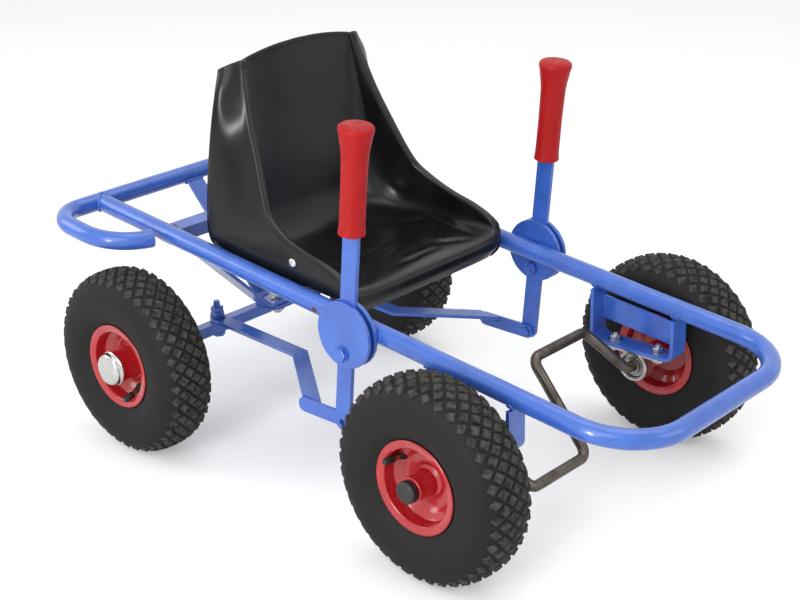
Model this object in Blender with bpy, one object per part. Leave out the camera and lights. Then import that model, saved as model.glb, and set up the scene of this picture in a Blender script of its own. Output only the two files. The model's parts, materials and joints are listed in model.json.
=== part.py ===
"""Ride-on pedal cart with lever steering: frame, crank axle, steered rear axle, levers, wheels and seat.

+X is forward, +Y is the rider's left, +Z is up, and the ground is z = 0.
"""
from math import ceil, cos, pi, radians, sin, tan

import bmesh
import bpy
from mathutils import Matrix, Vector

mm = 0.001
SIDES = {"left": 1, "right": -1}

# Clearances
gap = 0.3 * mm              # between faces that touch on the real cart
bore_gap = 0.3 * mm         # on the radius, round every shaft and bolt

# Wheels
tyre_radius = 130 * mm
tyre_width = 82 * mm
tyre_wall = 7 * mm
rim_radius = 60 * mm
rim_width = 62 * mm
rim_sheet = 2.5 * mm
bead_radius = 51 * mm
hub_length = 76 * mm
front_hub_radius = 16 * mm
rear_hub_radius = 22 * mm
rear_hub_bore = 17.5 * mm
axle_cap_radius = 14 * mm
hub_cap_radius = 24 * mm
front_axle_x = 229 * mm
rear_axle_x = -311 * mm
front_track = 488 * mm
rear_track = 496 * mm

# Frame tubes; the frame plane drops towards the front
frame_tilt = radians(6.1)
frame_height = 256.5 * mm
tube_radius = 12.5 * mm
tube_wall = 2 * mm
rail_y = 169 * mm
front_loop_u = 467 * mm
front_loop_bend = 85 * mm
rear_tube_u = -467 * mm
hook_y = 254 * mm
hook_bend = 48 * mm
hook_curve_u = -390 * mm    # where each hook starts to curl in towards its rail
hook_sweep = 72 * mm
hook_turn = radians(75)
hook_tip = 4 * mm
cross_tube_u = -323 * mm
cross_tube_width = 25 * mm
cross_tube_height = 20 * mm
cross_tube_drop = 6 * mm

# Rear axle and its pivot
beam_size = 16 * mm
beam_length = 410 * mm
stub_radius = 7.5 * mm
kingpin_x = -289 * mm
kingpin_radius = 6 * mm
lug_thick = 6 * mm
lug_half_width = 20 * mm
hanger_width = 34 * mm
hanger_thick = 5 * mm
hanger_flat = 26 * mm
stay_width = 28 * mm
stay_thick = 6 * mm

# Lever pivots, levers and grips
disc_u = 46 * mm
disc_drop = 6 * mm
disc_radius = 44 * mm
disc_thick = 5 * mm
pivot_drop = 32 * mm
lever_width = 25 * mm
lever_thick = 6 * mm
lever_foot = 101 * mm
lever_reach = 288 * mm
lever_bolt_radius = 5 * mm
grip_start = 160 * mm
grip_end = 299 * mm
grip_radius = 16 * mm
grip_cap_radius = 22 * mm

# Steering links
link_arm_y = 97 * mm
link_bolt_radius = 5 * mm
link_width = 22 * mm
link_thick = 5 * mm
link_bend_x = -142 * mm
link_slope = radians(2.8)
link_angle = radians(38)
tang_height = 20 * mm
tang_start_x = -54 * mm
tang_bolt_radius = 4 * mm

# Front brackets and bearings
bracket_length = 132 * mm
bracket_width = 30 * mm
bracket_thick = 5 * mm
bracket_bend = 12 * mm
bracket_plate_height = 33 * mm
bracket_plate_thick = 4 * mm
bracket_slot = 15 * mm
housing_height = 22 * mm
housing_length = 86 * mm
housing_width = 25 * mm
housing_foot = 3.5 * mm
housing_radius = 22 * mm
housing_barrel = 15.5 * mm
housing_bolts = 68 * mm
housing_bolt_radius = 4 * mm
insert_radius = 17 * mm
insert_width = 20 * mm

# Crank
rod_radius = 7 * mm
crank_throw = 70 * mm
crank_angle = radians(-51)
pedal_end_y = 110 * mm
crank_arm_y = 148 * mm
crank_bend = 14 * mm

# Seat
seat_wall = 4 * mm
seat_crest = 9 * mm         # from the wing's inner wall out to its skirt
seat_half_width = 153.5 * mm
seat_squareness = 5.0
seat_height = 541 * mm
pan_height = 270 * mm
support_bar_x = -132 * mm
support_bar_width = 30 * mm
support_bar_thick = 5 * mm
seat_bolt_x = -84 * mm
seat_bolt_z = 297 * mm
seat_bolt_radius = 3 * mm
tab_width = 24 * mm
tab_thick = 2.5 * mm
tab_top = 306 * mm

# Facets round a full circle
tube_facets = 12
rod_facets = 10
bolt_facets = 12
hole_facets = 12
disc_facets = 28
wheel_facets = 28
cope_facets = 20
grip_facets = 16

# Where the driving sizes put things
FRAME = Matrix.Translation((0, 0, frame_height)) @ Matrix.Rotation(frame_tilt, 4, "Y")
axle_z = tyre_radius
lever_pivot = FRAME @ Vector((disc_u, 0, -pivot_drop))
disc_inner_y = rail_y + tube_radius + gap
lever_y = disc_inner_y + disc_thick + gap
disc_outer_y = lever_y + lever_thick + gap
beam_top = axle_z + beam_size / 2
lug_z = beam_top + gap
hanger_z = lug_z + lug_thick + gap
housing_base_z = axle_z + housing_height
bracket_z = housing_base_z + gap
lever_foot_point = FRAME @ Vector((disc_u, 0, -pivot_drop - lever_foot))
crank_pin = Vector((crank_throw * cos(crank_angle), 0, crank_throw * sin(crank_angle)))


def material(name, colour, roughness, metallic):
    mat = bpy.data.materials.new(name)
    mat.use_nodes = True
    shader = mat.node_tree.nodes["Principled BSDF"]
    shader.inputs["Base Color"].default_value = (*colour, 1)
    shader.inputs["Roughness"].default_value = roughness
    shader.inputs["Metallic"].default_value = metallic
    mat.diffuse_color = (*colour, 1)
    return mat


def pivot(name, point):
    empty = bpy.data.objects.new(name, None)
    empty.location = point
    empty.empty_display_size = 20 * mm
    bpy.context.scene.collection.objects.link(empty)
    return empty


def solid(name, bm, mat, parent=None, smooth=True):
    """Make an object from a mesh built in world coordinates, with its origin on the parent's."""
    bmesh.ops.recalc_face_normals(bm, faces=bm.faces)
    if parent:
        bmesh.ops.translate(bm, vec=-parent.location, verts=bm.verts)
    mesh = bpy.data.meshes.new(name)
    bm.to_mesh(mesh)
    bm.free()
    mesh.materials.append(mat)
    obj = bpy.data.objects.new(name, mesh)
    bpy.context.scene.collection.objects.link(obj)
    obj.parent = parent
    if smooth:
        mesh.shade_smooth()
        mesh.set_sharp_from_angle(angle=radians(35))
    return obj


def boolean(obj, bm, operation="DIFFERENCE"):
    """Cut or join a second mesh, built in world coordinates, with a Boolean modifier."""
    index = len(obj.modifiers)
    tool = solid(f"{obj.name}_tool_{index}", bm, obj.data.materials[0], obj.parent)
    tool.display_type = "WIRE"
    tool.hide_render = True
    tool.hide_viewport = True
    modifier = obj.modifiers.new(f"{operation.lower()}_{index}", "BOOLEAN")
    modifier.operation = operation
    modifier.solver = "EXACT"
    modifier.object = tool
    bpy.context.view_layer.update()
    graph = bpy.context.evaluated_depsgraph_get()
    mesh = bpy.data.meshes.new_from_object(obj.evaluated_get(graph))
    obj.modifiers.clear()
    old = obj.data
    obj.data = mesh
    bpy.data.meshes.remove(old)
    bpy.data.objects.remove(tool)
    return obj


def rings_to_mesh(rings, closed_path=False, caps=True):
    """Bridge a list of equal rings of points into a skin, with end caps."""
    bm = bmesh.new()
    loops = [[bm.verts.new(point) for point in ring] for ring in rings]
    count = len(loops[0])
    pairs = list(zip(loops, loops[1:]))
    if closed_path:
        pairs.append((loops[-1], loops[0]))
    for first, second in pairs:
        for i in range(count):
            j = (i + 1) % count
            bm.faces.new((first[i], first[j], second[j], second[i]))
    if caps and not closed_path:
        bm.faces.new(loops[0])
        bm.faces.new(list(reversed(loops[-1])))
    return bm


def circle(centre, across, up, radius, count):
    return [centre + radius * (cos(2 * pi * i / count) * across + sin(2 * pi * i / count) * up)
            for i in range(count)]


def bent_path(points, bends, step=radians(16)):
    """Round each corner of a polyline with an arc of its own bend radius."""
    path = [points[0]]
    for before, corner, after, bend in zip(points, points[1:], points[2:], bends):
        back = (before - corner).normalized()
        ahead = (after - corner).normalized()
        turn = pi - back.angle(ahead)
        if turn < radians(1):
            continue
        reach = bend * tan(turn / 2)
        start = corner + back * reach
        middle = (back + ahead).normalized()
        centre = corner + middle * (bend / cos(turn / 2))
        arm = start - centre
        axis = back.cross(ahead).normalized()
        count = max(2, ceil(turn / step))
        for i in range(count + 1):
            path.append(centre + Matrix.Rotation(-turn * i / count, 3, axis) @ arm)
    path.append(points[-1])
    return path


def path_frames(path):
    """Carry one cross-section frame along a path without twisting it."""
    tangents = []
    for i in range(len(path)):
        before = path[max(i - 1, 0)]
        after = path[min(i + 1, len(path) - 1)]
        tangents.append((after - before).normalized())
    up = tangents[0].orthogonal().normalized()
    frames = []
    for point, tangent in zip(path, tangents):
        across = tangent.cross(up).normalized()
        up = across.cross(tangent).normalized()
        frames.append((point, across, up))
    return frames


def swept_rod(path, radius, count=rod_facets):
    return rings_to_mesh([circle(p, a, u, radius, count) for p, a, u in path_frames(path)])


def swept_tube(path, radius, wall, count=tube_facets):
    """A bent tube, open at both ends."""
    frames = path_frames(path)
    outer = [circle(p, a, u, radius, count) for p, a, u in frames]
    inner = [circle(p, a, u, radius - wall, count) for p, a, u in reversed(frames)]
    return rings_to_mesh(outer + inner, closed_path=True)


def block(low, high, place=None):
    """A box between two corners, optionally moved by a matrix."""
    low, high = Vector(low), Vector(high)
    bm = bmesh.new()
    bmesh.ops.create_cube(bm, size=1)
    bmesh.ops.scale(bm, vec=high - low, verts=bm.verts)
    bmesh.ops.translate(bm, vec=(low + high) / 2, verts=bm.verts)
    if place:
        bm.transform(place)
    return bm


def drum(centre, axis, radius, length, count=hole_facets):
    """A cylinder centred on a point, along an axis."""
    axis = Vector(axis).normalized()
    across = axis.orthogonal().normalized()
    up = axis.cross(across)
    ends = [Vector(centre) + axis * length * side for side in (-0.5, 0.5)]
    return rings_to_mesh([circle(end, across, up, radius, count) for end in ends])


def turned(base, axis, stations, count=bolt_facets):
    """Stack sections along an axis. A station is (height, radius, six_sided)."""
    axis = Vector(axis).normalized()
    across = axis.orthogonal().normalized()
    up = axis.cross(across)
    rings = []
    for height, radius, six_sided in stations:
        ring = []
        for i in range(count):
            angle = 2 * pi * i / count
            reach = radius
            if six_sided:
                reach *= cos(pi / 6) / cos((angle % (pi / 3)) - pi / 6)
            ring.append(Vector(base) + axis * height + reach * (cos(angle) * across + sin(angle) * up))
        rings.append(ring)
    return rings_to_mesh(rings)


def lathe(profile, centre, count=wheel_facets):
    """Spin a closed outline of (radius, y) points round the Y axis through a point."""
    centre = Vector(centre)
    rings = []
    for i in range(count):
        angle = 2 * pi * i / count
        spoke = Vector((cos(angle), 0, sin(angle)))
        rings.append([centre + spoke * radius + Vector((0, y, 0)) for radius, y in profile])
    return rings_to_mesh(rings, closed_path=True)


def plate(outline, low, high, place):
    """Extrude a flat outline between two heights along its own Z, then place it."""
    bm = rings_to_mesh([[Vector((x, y, z)) for x, y in outline] for z in (low, high)])
    bm.transform(place)
    return bm


def rounded(points, radius, steps=4):
    """Round every corner of a closed 2D outline."""
    outline = []
    count = len(points)
    for i, corner in enumerate(points):
        corner = Vector(corner)
        back = (Vector(points[i - 1]) - corner).normalized()
        ahead = (Vector(points[(i + 1) % count]) - corner).normalized()
        turn = pi - back.angle(ahead)
        reach = radius * tan(turn / 2)
        centre = corner + (back + ahead).normalized() * (radius / cos(turn / 2))
        start = corner + back * reach - centre
        sign = 1 if back.x * ahead.y - back.y * ahead.x < 0 else -1
        for step in range(steps + 1):
            angle = sign * turn * step / steps
            spoke = Vector((start.x * cos(angle) - start.y * sin(angle),
                            start.x * sin(angle) + start.y * cos(angle)))
            outline.append(tuple(centre + spoke))
    return outline


def bent_strip(points, thick, bend):
    """The outline of a flat bar bent on edge: a centre line with rounded corners and a thickness."""
    line = bent_path([Vector((x, y, 0)) for x, y in points], [bend] * len(points))
    left, right = [], []
    for i, point in enumerate(line):
        before = line[max(i - 1, 0)]
        after = line[min(i + 1, len(line) - 1)]
        along = (after - before).normalized()
        side = Vector((-along.y, along.x, 0)) * thick / 2
        left.append((point + side).to_2d())
        right.append((point - side).to_2d())
    return left + right[::-1]


def smooth_curve(points, steps):
    """A Catmull-Rom curve through points of any length, as lists."""
    padded = [points[0]] + list(points) + [points[-1]]
    curve = []
    for i in range(len(points) - 1):
        a, b, c, d = padded[i:i + 4]
        for step in range(steps):
            t = step / steps
            curve.append([0.5 * (2 * q + (r - p) * t + (2 * p - 5 * q + 4 * r - s) * t ** 2
                                 + (3 * q - p - 3 * r + s) * t ** 3)
                          for p, q, r, s in zip(a, b, c, d)])
    curve.append(list(points[-1]))
    return curve


def upright(y):
    """Outline X and Y become world X and Z; its height runs along +Y from y."""
    return Matrix(((1, 0, 0, 0), (0, 0, 1, y), (0, 1, 0, 0), (0, 0, 0, 1)))


def frame_tubes(mats):
    corners = [(rear_tube_u, -rail_y, 0), (front_loop_u, -rail_y, 0),
               (front_loop_u, rail_y, 0), (rear_tube_u, rail_y, 0)]
    loop = bent_path([FRAME @ Vector(corner) for corner in corners], [front_loop_bend] * 2, radians(11.5))
    frame = solid("main_frame_tube", swept_tube(loop, tube_radius, tube_wall), mats["frame_blue"])
    cope = drum(FRAME @ Vector((rear_tube_u, 0, 0)), (0, 1, 0), tube_radius + gap, 2 * rail_y + 80 * mm,
                cope_facets)
    boolean(frame, cope)

    reach = hook_sweep * tan(hook_turn / 2)
    corner_u, tip = hook_curve_u + reach, reach + hook_tip
    half = [(rear_tube_u, hook_y, 0), (corner_u, hook_y, 0),
            (corner_u + tip * cos(hook_turn), hook_y - tip * sin(hook_turn), 0)]
    mirrored = [(u, -y, w) for u, y, w in reversed(half)]
    hooks = bent_path([FRAME @ Vector(point) for point in mirrored + half],
                      [hook_sweep, hook_bend, hook_bend, hook_sweep], radians(16))
    solid("rear_tube", swept_tube(hooks, tube_radius, tube_wall), mats["frame_blue"])

    half_width, half_height = cross_tube_width / 2, cross_tube_height / 2
    low, high = -half_height - cross_tube_drop, half_height - cross_tube_drop
    cross = solid("seat_cross_tube", block((cross_tube_u - half_width, -rail_y, low),
                                           (cross_tube_u + half_width, rail_y, high), FRAME), mats["frame_blue"])
    boolean(cross, block((cross_tube_u - half_width + tube_wall, -rail_y - mm, low + tube_wall),
                         (cross_tube_u + half_width - tube_wall, rail_y + mm, high - tube_wall), FRAME))
    for side in SIDES.values():
        boolean(cross, drum(FRAME @ Vector((cross_tube_u, side * rail_y, 0)),
                            FRAME.to_3x3() @ Vector((1, 0, 0)), tube_radius + gap, 80 * mm, cope_facets))


def pivot_hanger(mats):
    rail_z = (FRAME @ Vector((kingpin_x / cos(frame_tilt), 0, 0))).z
    centre_z = hanger_z + hanger_thick / 2
    arm = Vector((rail_y - hanger_flat, rail_z - centre_z))
    end = Vector((rail_y, rail_z)) - arm.normalized() * (tube_radius + 2 * mm)
    points = [(-end.x, end.y), (-hanger_flat, centre_z), (hanger_flat, centre_z), (end.x, end.y)]
    outline = bent_strip(points, hanger_thick, 10 * mm)
    stand = Matrix(((0, 0, 1, kingpin_x), (1, 0, 0, 0), (0, 1, 0, 0), (0, 0, 0, 1)))
    hanger = solid("pivot_hanger", plate(outline, -hanger_width / 2, hanger_width / 2, stand), mats["frame_blue"])
    boolean(hanger, drum((kingpin_x, 0, hanger_z), (0, 0, 1), kingpin_radius + bore_gap, 40 * mm))
    for side in SIDES.values():
        boolean(hanger, drum(FRAME @ Vector((kingpin_x, side * rail_y, 0)),
                             FRAME.to_3x3() @ Vector((1, 0, 0)), tube_radius + gap, 90 * mm, cope_facets))

    stay_top = FRAME @ Vector((rear_tube_u, 0, 0))
    stay_foot = Vector((kingpin_x - hanger_width / 2 - gap, 0, centre_z))
    outline = bent_strip([(stay_top.x, stay_top.z), (stay_foot.x - 12 * mm, stay_foot.z),
                          (stay_foot.x, stay_foot.z)], stay_thick - mm, 8 * mm)
    stay = solid("rear_stay", plate(outline, 0, stay_width, upright(-stay_width / 2)), mats["frame_blue"])
    boolean(stay, drum(stay_top, (0, 1, 0), tube_radius + gap, 60 * mm, cope_facets))

    head, shank = 11 * mm, kingpin_radius
    low, top = lug_z - gap - 8 * mm, hanger_z + hanger_thick + gap
    stations = [(low - 4 * mm - top, shank, False), (low - top, shank, False), (low - top, head, True),
                (lug_z - gap - top, head, True), (lug_z - gap - top, shank, False), (0, shank, False),
                (0, head, True), (7 * mm, head, True)]
    solid("kingpin_bolt", turned((kingpin_x, 0, top), (0, 0, 1), stations), mats["zinc"])


def rear_axle(mats, axle_pivot):
    half, size = beam_length / 2, beam_size / 2
    beam = solid("rear_axle_beam", block((rear_axle_x - size, -half, axle_z - size),
                                         (rear_axle_x + size, half, axle_z + size)),
                 mats["frame_blue"], axle_pivot)
    stub_end = rear_track / 2 + hub_length / 2
    boolean(beam, drum((rear_axle_x, 0, axle_z), (0, 1, 0), stub_radius, 2 * stub_end), "UNION")
    for side in SIDES.values():
        boolean(beam, drum((rear_axle_x, side * link_arm_y, axle_z), (0, 0, 1),
                           link_bolt_radius + bore_gap, 2 * beam_size))

    back = rear_axle_x - beam_size / 2
    front = kingpin_x + lug_half_width
    outline = rounded([(back, -lug_half_width), (front, -lug_half_width),
                       (front, lug_half_width), (back, lug_half_width)], 8 * mm)
    lug = solid("pivot_lug", plate(outline, lug_z, lug_z + lug_thick, Matrix()), mats["frame_blue"], axle_pivot)
    boolean(lug, drum((kingpin_x, 0, lug_z), (0, 0, 1), kingpin_radius + bore_gap, 40 * mm))

    for name, side in SIDES.items():
        base = (rear_axle_x, side * link_arm_y, axle_z - beam_size / 2 - gap)
        link_top = beam_size + 2 * gap + link_thick + 1.5 * mm
        shank, head = link_bolt_radius, 9.8 * mm
        stations = [(-6 * mm, head, True), (0, head, True), (0, shank, False),
                    (link_top, shank, False), (link_top, head, True), (link_top + 8 * mm, head, True),
                    (link_top + 8 * mm, head * 0.86, False), (link_top + 9 * mm, head * 0.86, False),
                    (link_top + 9 * mm, head, True), (link_top + 15 * mm, head, True),
                    (link_top + 15 * mm, shank, False), (link_top + 24 * mm, shank, False)]
        solid(f"link_bolt_{name}", turned(base, (0, 0, 1), stations), mats["frame_blue"], axle_pivot)


def steering_link(mats, name, side, link_pivot):
    """A flat bar that leaves the axle along X, turns outwards, and ends in a tang on edge."""
    end_y = disc_inner_y - gap
    width = link_width / 2
    along = Vector((cos(link_angle), sin(link_angle)))
    normal = Vector((-along.y, along.x))
    corner = Vector((link_bend_x, link_arm_y))
    mitre = width * tan(link_angle / 2)

    def reach_end(offset):
        start = corner + normal * offset
        return start + along * ((end_y - start.y) / along.y)

    rear = rear_axle_x
    nose = [(rear - width * cos(a), link_arm_y + width * sin(a))
            for a in [pi / 2 * (1 - 2 * i / 10) for i in range(11)]]
    inside = [(corner.x - mitre, corner.y + width), tuple(reach_end(width))]
    outside = [tuple(reach_end(-width)), (corner.x + mitre, corner.y - width)]
    outline = inside + outside + nose[::-1]
    outline = [(x, side * y) for x, y in outline]
    bottom = beam_top + gap + 0.6 * mm
    hinge = Matrix.Translation((rear_axle_x, 0, bottom))
    slope = hinge @ Matrix.Rotation(link_slope, 4, "Y") @ hinge.inverted()
    bar = solid(f"link_bar_{name}", plate(outline, bottom, bottom + link_thick, slope),
                mats["frame_blue"], link_pivot)
    boolean(bar, drum((rear_axle_x, side * link_arm_y, bottom), (0, 0, 1),
                      link_bolt_radius + 0.6 * mm, 40 * mm))

    foot = lever_foot_point
    tang_low = foot.z - tang_height / 2
    outline = rounded([(tang_start_x, tang_low), (foot.x + tang_height / 2, tang_low),
                       (foot.x + tang_height / 2, tang_low + tang_height),
                       (tang_start_x, tang_low + tang_height)], tang_height / 2 - 0.5 * mm)
    near, far = sorted((side * disc_inner_y, side * (disc_inner_y + disc_thick)))
    tang = solid(f"link_tang_{name}", plate(outline, near, far, upright(0)), mats["frame_blue"], link_pivot)
    hole = (foot.x, side * disc_inner_y, foot.z)
    boolean(tang, drum(hole, (0, 1, 0), tang_bolt_radius + bore_gap, 40 * mm))

    base = (foot.x, side * (disc_inner_y - gap), foot.z)
    shank = tang_bolt_radius
    stations = [(-5 * mm, 7.5 * mm, True), (0, 7.5 * mm, True), (0, shank, False),
                (disc_thick + gap, shank, False)]
    solid(f"tang_bolt_{name}", turned(base, (0, side, 0), stations), mats["frame_blue"], link_pivot)


def steering_lever(mats, name, side, lever_empty):
    half = lever_width / 2
    low, high = -lever_foot - half + 2 * mm, lever_reach
    outline = rounded([(-half, low), (half, low), (half, high), (-half, high)], half - mm)
    place = Matrix.Translation(lever_pivot) @ Matrix.Rotation(frame_tilt, 4, "Y")
    near, far = sorted((side * lever_y, side * (lever_y + lever_thick)))
    bar = solid(f"lever_bar_{name}", plate(outline, near, far, place @ upright(0)),
                mats["frame_blue"], lever_empty)
    for point, radius in ((lever_pivot, lever_bolt_radius), (lever_foot_point, tang_bolt_radius)):
        boolean(bar, drum((point.x, side * lever_y, point.z), (0, 1, 0), radius + bore_gap, 40 * mm))

    centre_y = side * (lever_y + lever_thick / 2)
    axis = FRAME.to_3x3() @ Vector((0, 0, 1))
    base = Vector((lever_pivot.x, centre_y, lever_pivot.z))
    stations = [(grip_start, grip_radius, False), (grip_start + 3 * mm, grip_radius + mm, False),
                (grip_start + 14 * mm, grip_radius, False), (grip_end - 36 * mm, grip_radius, False),
                (grip_end - 24 * mm, grip_radius + 2 * mm, False),
                (grip_end - 10 * mm, grip_cap_radius - mm, False), (grip_end - 4 * mm, grip_cap_radius, False),
                (grip_end - mm, grip_cap_radius - 3 * mm, False), (grip_end, grip_cap_radius - 7 * mm, False)]
    grip = solid(f"grip_{name}", turned(base, axis, stations, grip_facets), mats["grip_red"], lever_empty)
    slot = [(-half - gap, grip_start - 10 * mm), (half + gap, grip_start - 10 * mm),
            (half + gap, high + gap), (-half - gap, high + gap)]
    near, far = sorted((side * (lever_y - gap), side * (lever_y + lever_thick + gap)))
    boolean(grip, plate(slot, near, far, place @ upright(0)))


def lever_pivot_plates(mats, name, side):
    centre = FRAME @ Vector((disc_u, 0, -disc_drop))
    for label, start in (("inner", disc_inner_y), ("outer", disc_outer_y)):
        middle = (centre.x, side * (start + disc_thick / 2), centre.z)
        disc = solid(f"pivot_disc_{label}_{name}", drum(middle, (0, 1, 0), disc_radius, disc_thick, disc_facets),
                     mats["frame_blue"])
        boolean(disc, drum((lever_pivot.x, middle[1], lever_pivot.z), (0, 1, 0),
                           lever_bolt_radius + bore_gap, 40 * mm))
    base = (lever_pivot.x, side * (disc_inner_y - gap), lever_pivot.z)
    length = disc_outer_y + disc_thick + gap - (disc_inner_y - gap)
    shank, head = lever_bolt_radius, 9.5 * mm
    stations = [(-10 * mm, shank, False), (-7 * mm, shank, False), (-7 * mm, head, True), (0, head, True),
                (0, shank, False), (length, shank, False), (length, head, True),
                (length + 5.5 * mm, head, True)]
    solid(f"lever_bolt_{name}", turned(base, (0, side, 0), stations), mats["frame_blue"])


def front_bracket(mats, name, side):
    """A bent flat bar under the rail, with a cross plate, a bearing housing and two bolts."""
    back, front = front_axle_x - bracket_length / 2, front_axle_x + bracket_length / 2
    half = bracket_thick / 2
    top = frame_height
    points = [(back + half, top), (back + half, bracket_z + half), (front - half, bracket_z + half),
              (front - half, top)]
    middle_y = side * rail_y
    bar = solid(f"front_bracket_{name}",
                plate(bent_strip(points, bracket_thick, bracket_bend), -bracket_width / 2, bracket_width / 2,
                      upright(middle_y)), mats["frame_blue"])
    clear = tube_radius + gap
    boolean(bar, block((back / cos(frame_tilt) - 60 * mm, middle_y - 40 * mm, -clear),
                       (front / cos(frame_tilt) + 80 * mm, middle_y + 40 * mm, 80 * mm), FRAME))
    bolt_points = [front_axle_x + end * housing_bolts / 2 for end in (-1, 1)]
    for x in bolt_points:
        boolean(bar, drum((x, middle_y, bracket_z), (0, 0, 1), housing_bolt_radius + bore_gap, 20 * mm))

    inside_back, inside_front = back + bracket_thick + gap, front - bracket_thick - gap
    top_edge = -tube_radius - bracket_slot

    def plate_point(x, drop):
        u = x / cos(frame_tilt)
        slope_point = FRAME @ Vector((u, 0, 0))
        return x, slope_point.z + drop / cos(frame_tilt)

    outline = [plate_point(inside_back, top_edge), plate_point(inside_front, top_edge),
               plate_point(inside_front, top_edge - bracket_plate_height),
               plate_point(inside_back, top_edge - bracket_plate_height)]
    outer = rail_y + bracket_width / 2
    near, far = sorted((side * (outer - bracket_plate_thick), side * outer))
    solid(f"bracket_plate_{name}", plate(outline, near, far, upright(0)), mats["frame_blue"])

    foot = block((front_axle_x - housing_length / 2, middle_y - housing_width / 2, housing_base_z - housing_foot),
                 (front_axle_x + housing_length / 2, middle_y + housing_width / 2, housing_base_z))
    housing = solid(f"bearing_housing_{name}", foot, mats["zinc"])
    boolean(housing, drum((front_axle_x, middle_y, axle_z), (0, 1, 0), housing_radius, housing_barrel,
                          cope_facets), "UNION")
    boolean(housing, block((front_axle_x - 60 * mm, middle_y - 30 * mm, housing_base_z),
                           (front_axle_x + 60 * mm, middle_y + 30 * mm, housing_base_z + 40 * mm)))
    boolean(housing, drum((front_axle_x, middle_y, axle_z), (0, 1, 0), insert_radius + bore_gap, 60 * mm,
                          cope_facets))
    for index, x in enumerate(bolt_points):
        boolean(housing, drum((x, middle_y, housing_base_z), (0, 0, 1), housing_bolt_radius + bore_gap, 20 * mm))
        end = ("rear", "front")[index]
        base = (x, middle_y, housing_base_z - housing_foot - gap)
        grip = housing_foot + bracket_thick + 3 * gap
        shank, head = housing_bolt_radius, 7.4 * mm
        stations = [(-5.5 * mm, head, True), (0, head, True), (0, shank, False), (grip, shank, False),
                    (grip, head, True), (grip + 6.5 * mm, head, True), (grip + 6.5 * mm, shank, False),
                    (grip + 10 * mm, shank, False)]
        solid(f"housing_bolt_{name}_{end}", turned(base, (0, 0, 1), stations), mats["zinc"])


def crank(mats, crank_empty):
    axle = Vector((front_axle_x, 0, axle_z))
    end = front_track / 2 + hub_length / 2 - 3 * mm
    side_y = Vector((0, 1, 0))
    points = [axle - side_y * end, axle - side_y * crank_arm_y,
              axle + crank_pin - side_y * pedal_end_y, axle + crank_pin,
              axle - crank_pin, axle - crank_pin + side_y * pedal_end_y,
              axle + side_y * crank_arm_y, axle + side_y * end]
    rod = bent_path(points, [crank_bend] * len(points), radians(20))
    solid("crank_rod", swept_rod(rod, rod_radius), mats["raw_steel"], crank_empty)
    for name, side in SIDES.items():
        half = insert_width / 2
        inner, outer = rod_radius + bore_gap, insert_radius
        profile = [(inner, -half), (inner + 4 * mm, -half), (inner + 4 * mm, -half * 0.6), (outer - mm, -half * 0.6),
                   (outer, 0), (outer - mm, half * 0.6), (inner + 4 * mm, half * 0.6),
                   (inner + 4 * mm, half), (inner, half)]
        solid(f"bearing_insert_{name}", lathe(profile, (front_axle_x, side * rail_y, axle_z), cope_facets),
              mats["bearing_steel"], crank_empty)


def tyre_profile():
    """A round-shouldered casing, open towards the rim, with its beads on the rim's seats."""
    middle, reach = (tyre_radius + bead_radius) / 2, (tyre_radius - bead_radius) / 2
    half = tyre_width / 2
    seat_radius = bead_radius + gap
    bead_out = rim_width / 2 - rim_sheet - 1.8 * mm
    bead_in = bead_out - tyre_wall - 3.5 * mm
    start, steps = radians(-46), 12
    outer, inner = [(seat_radius, bead_out)], [(seat_radius, bead_in)]
    for i in range(steps + 1):
        angle = start + (pi - 2 * start) * i / steps
        c, s = cos(angle), sin(angle)
        shape = (abs(c) ** 2.5 + abs(s) ** 2.5) ** (-1 / 2.5)
        outer.append((middle + reach * s * shape, half * c * shape))
        inner.append((middle + (reach - tyre_wall) * s * shape, (half - tyre_wall) * c * shape))
    return outer + [(seat_radius, -bead_out), (seat_radius, -bead_in)] + inner[:0:-1] + inner[:1]


def rim_profile(bore, hub_radius, side):
    """Two pressed dishes back to back on a hub tube; the deep face looks outwards."""
    half = rim_width / 2
    sheet = rim_sheet
    web = 4 * mm
    hub = hub_length / 2
    well = bead_radius - 9 * mm
    lip = rim_radius
    points = [
        (bore, -hub), (hub_radius, -hub), (hub_radius, web - 2 * sheet), (well - 8 * mm, web - 2 * sheet),
        (well - sheet, -8 * mm), (bead_radius - sheet, -14 * mm), (bead_radius - sheet, -half),
        (lip, -half - sheet), (lip, -half), (bead_radius, -half + sheet + mm),
        (bead_radius, -14 * mm), (well, -7 * mm), (well, 7 * mm), (bead_radius, 14 * mm),
        (bead_radius, half - sheet - mm), (lip, half), (lip, half + sheet), (bead_radius - sheet, half),
        (bead_radius - sheet, 14 * mm), (well - sheet, 9 * mm), (well - 8 * mm, web), (hub_radius, web),
        (hub_radius, hub), (bore, hub)]
    return [(radius, side * y) for radius, y in points]


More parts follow.
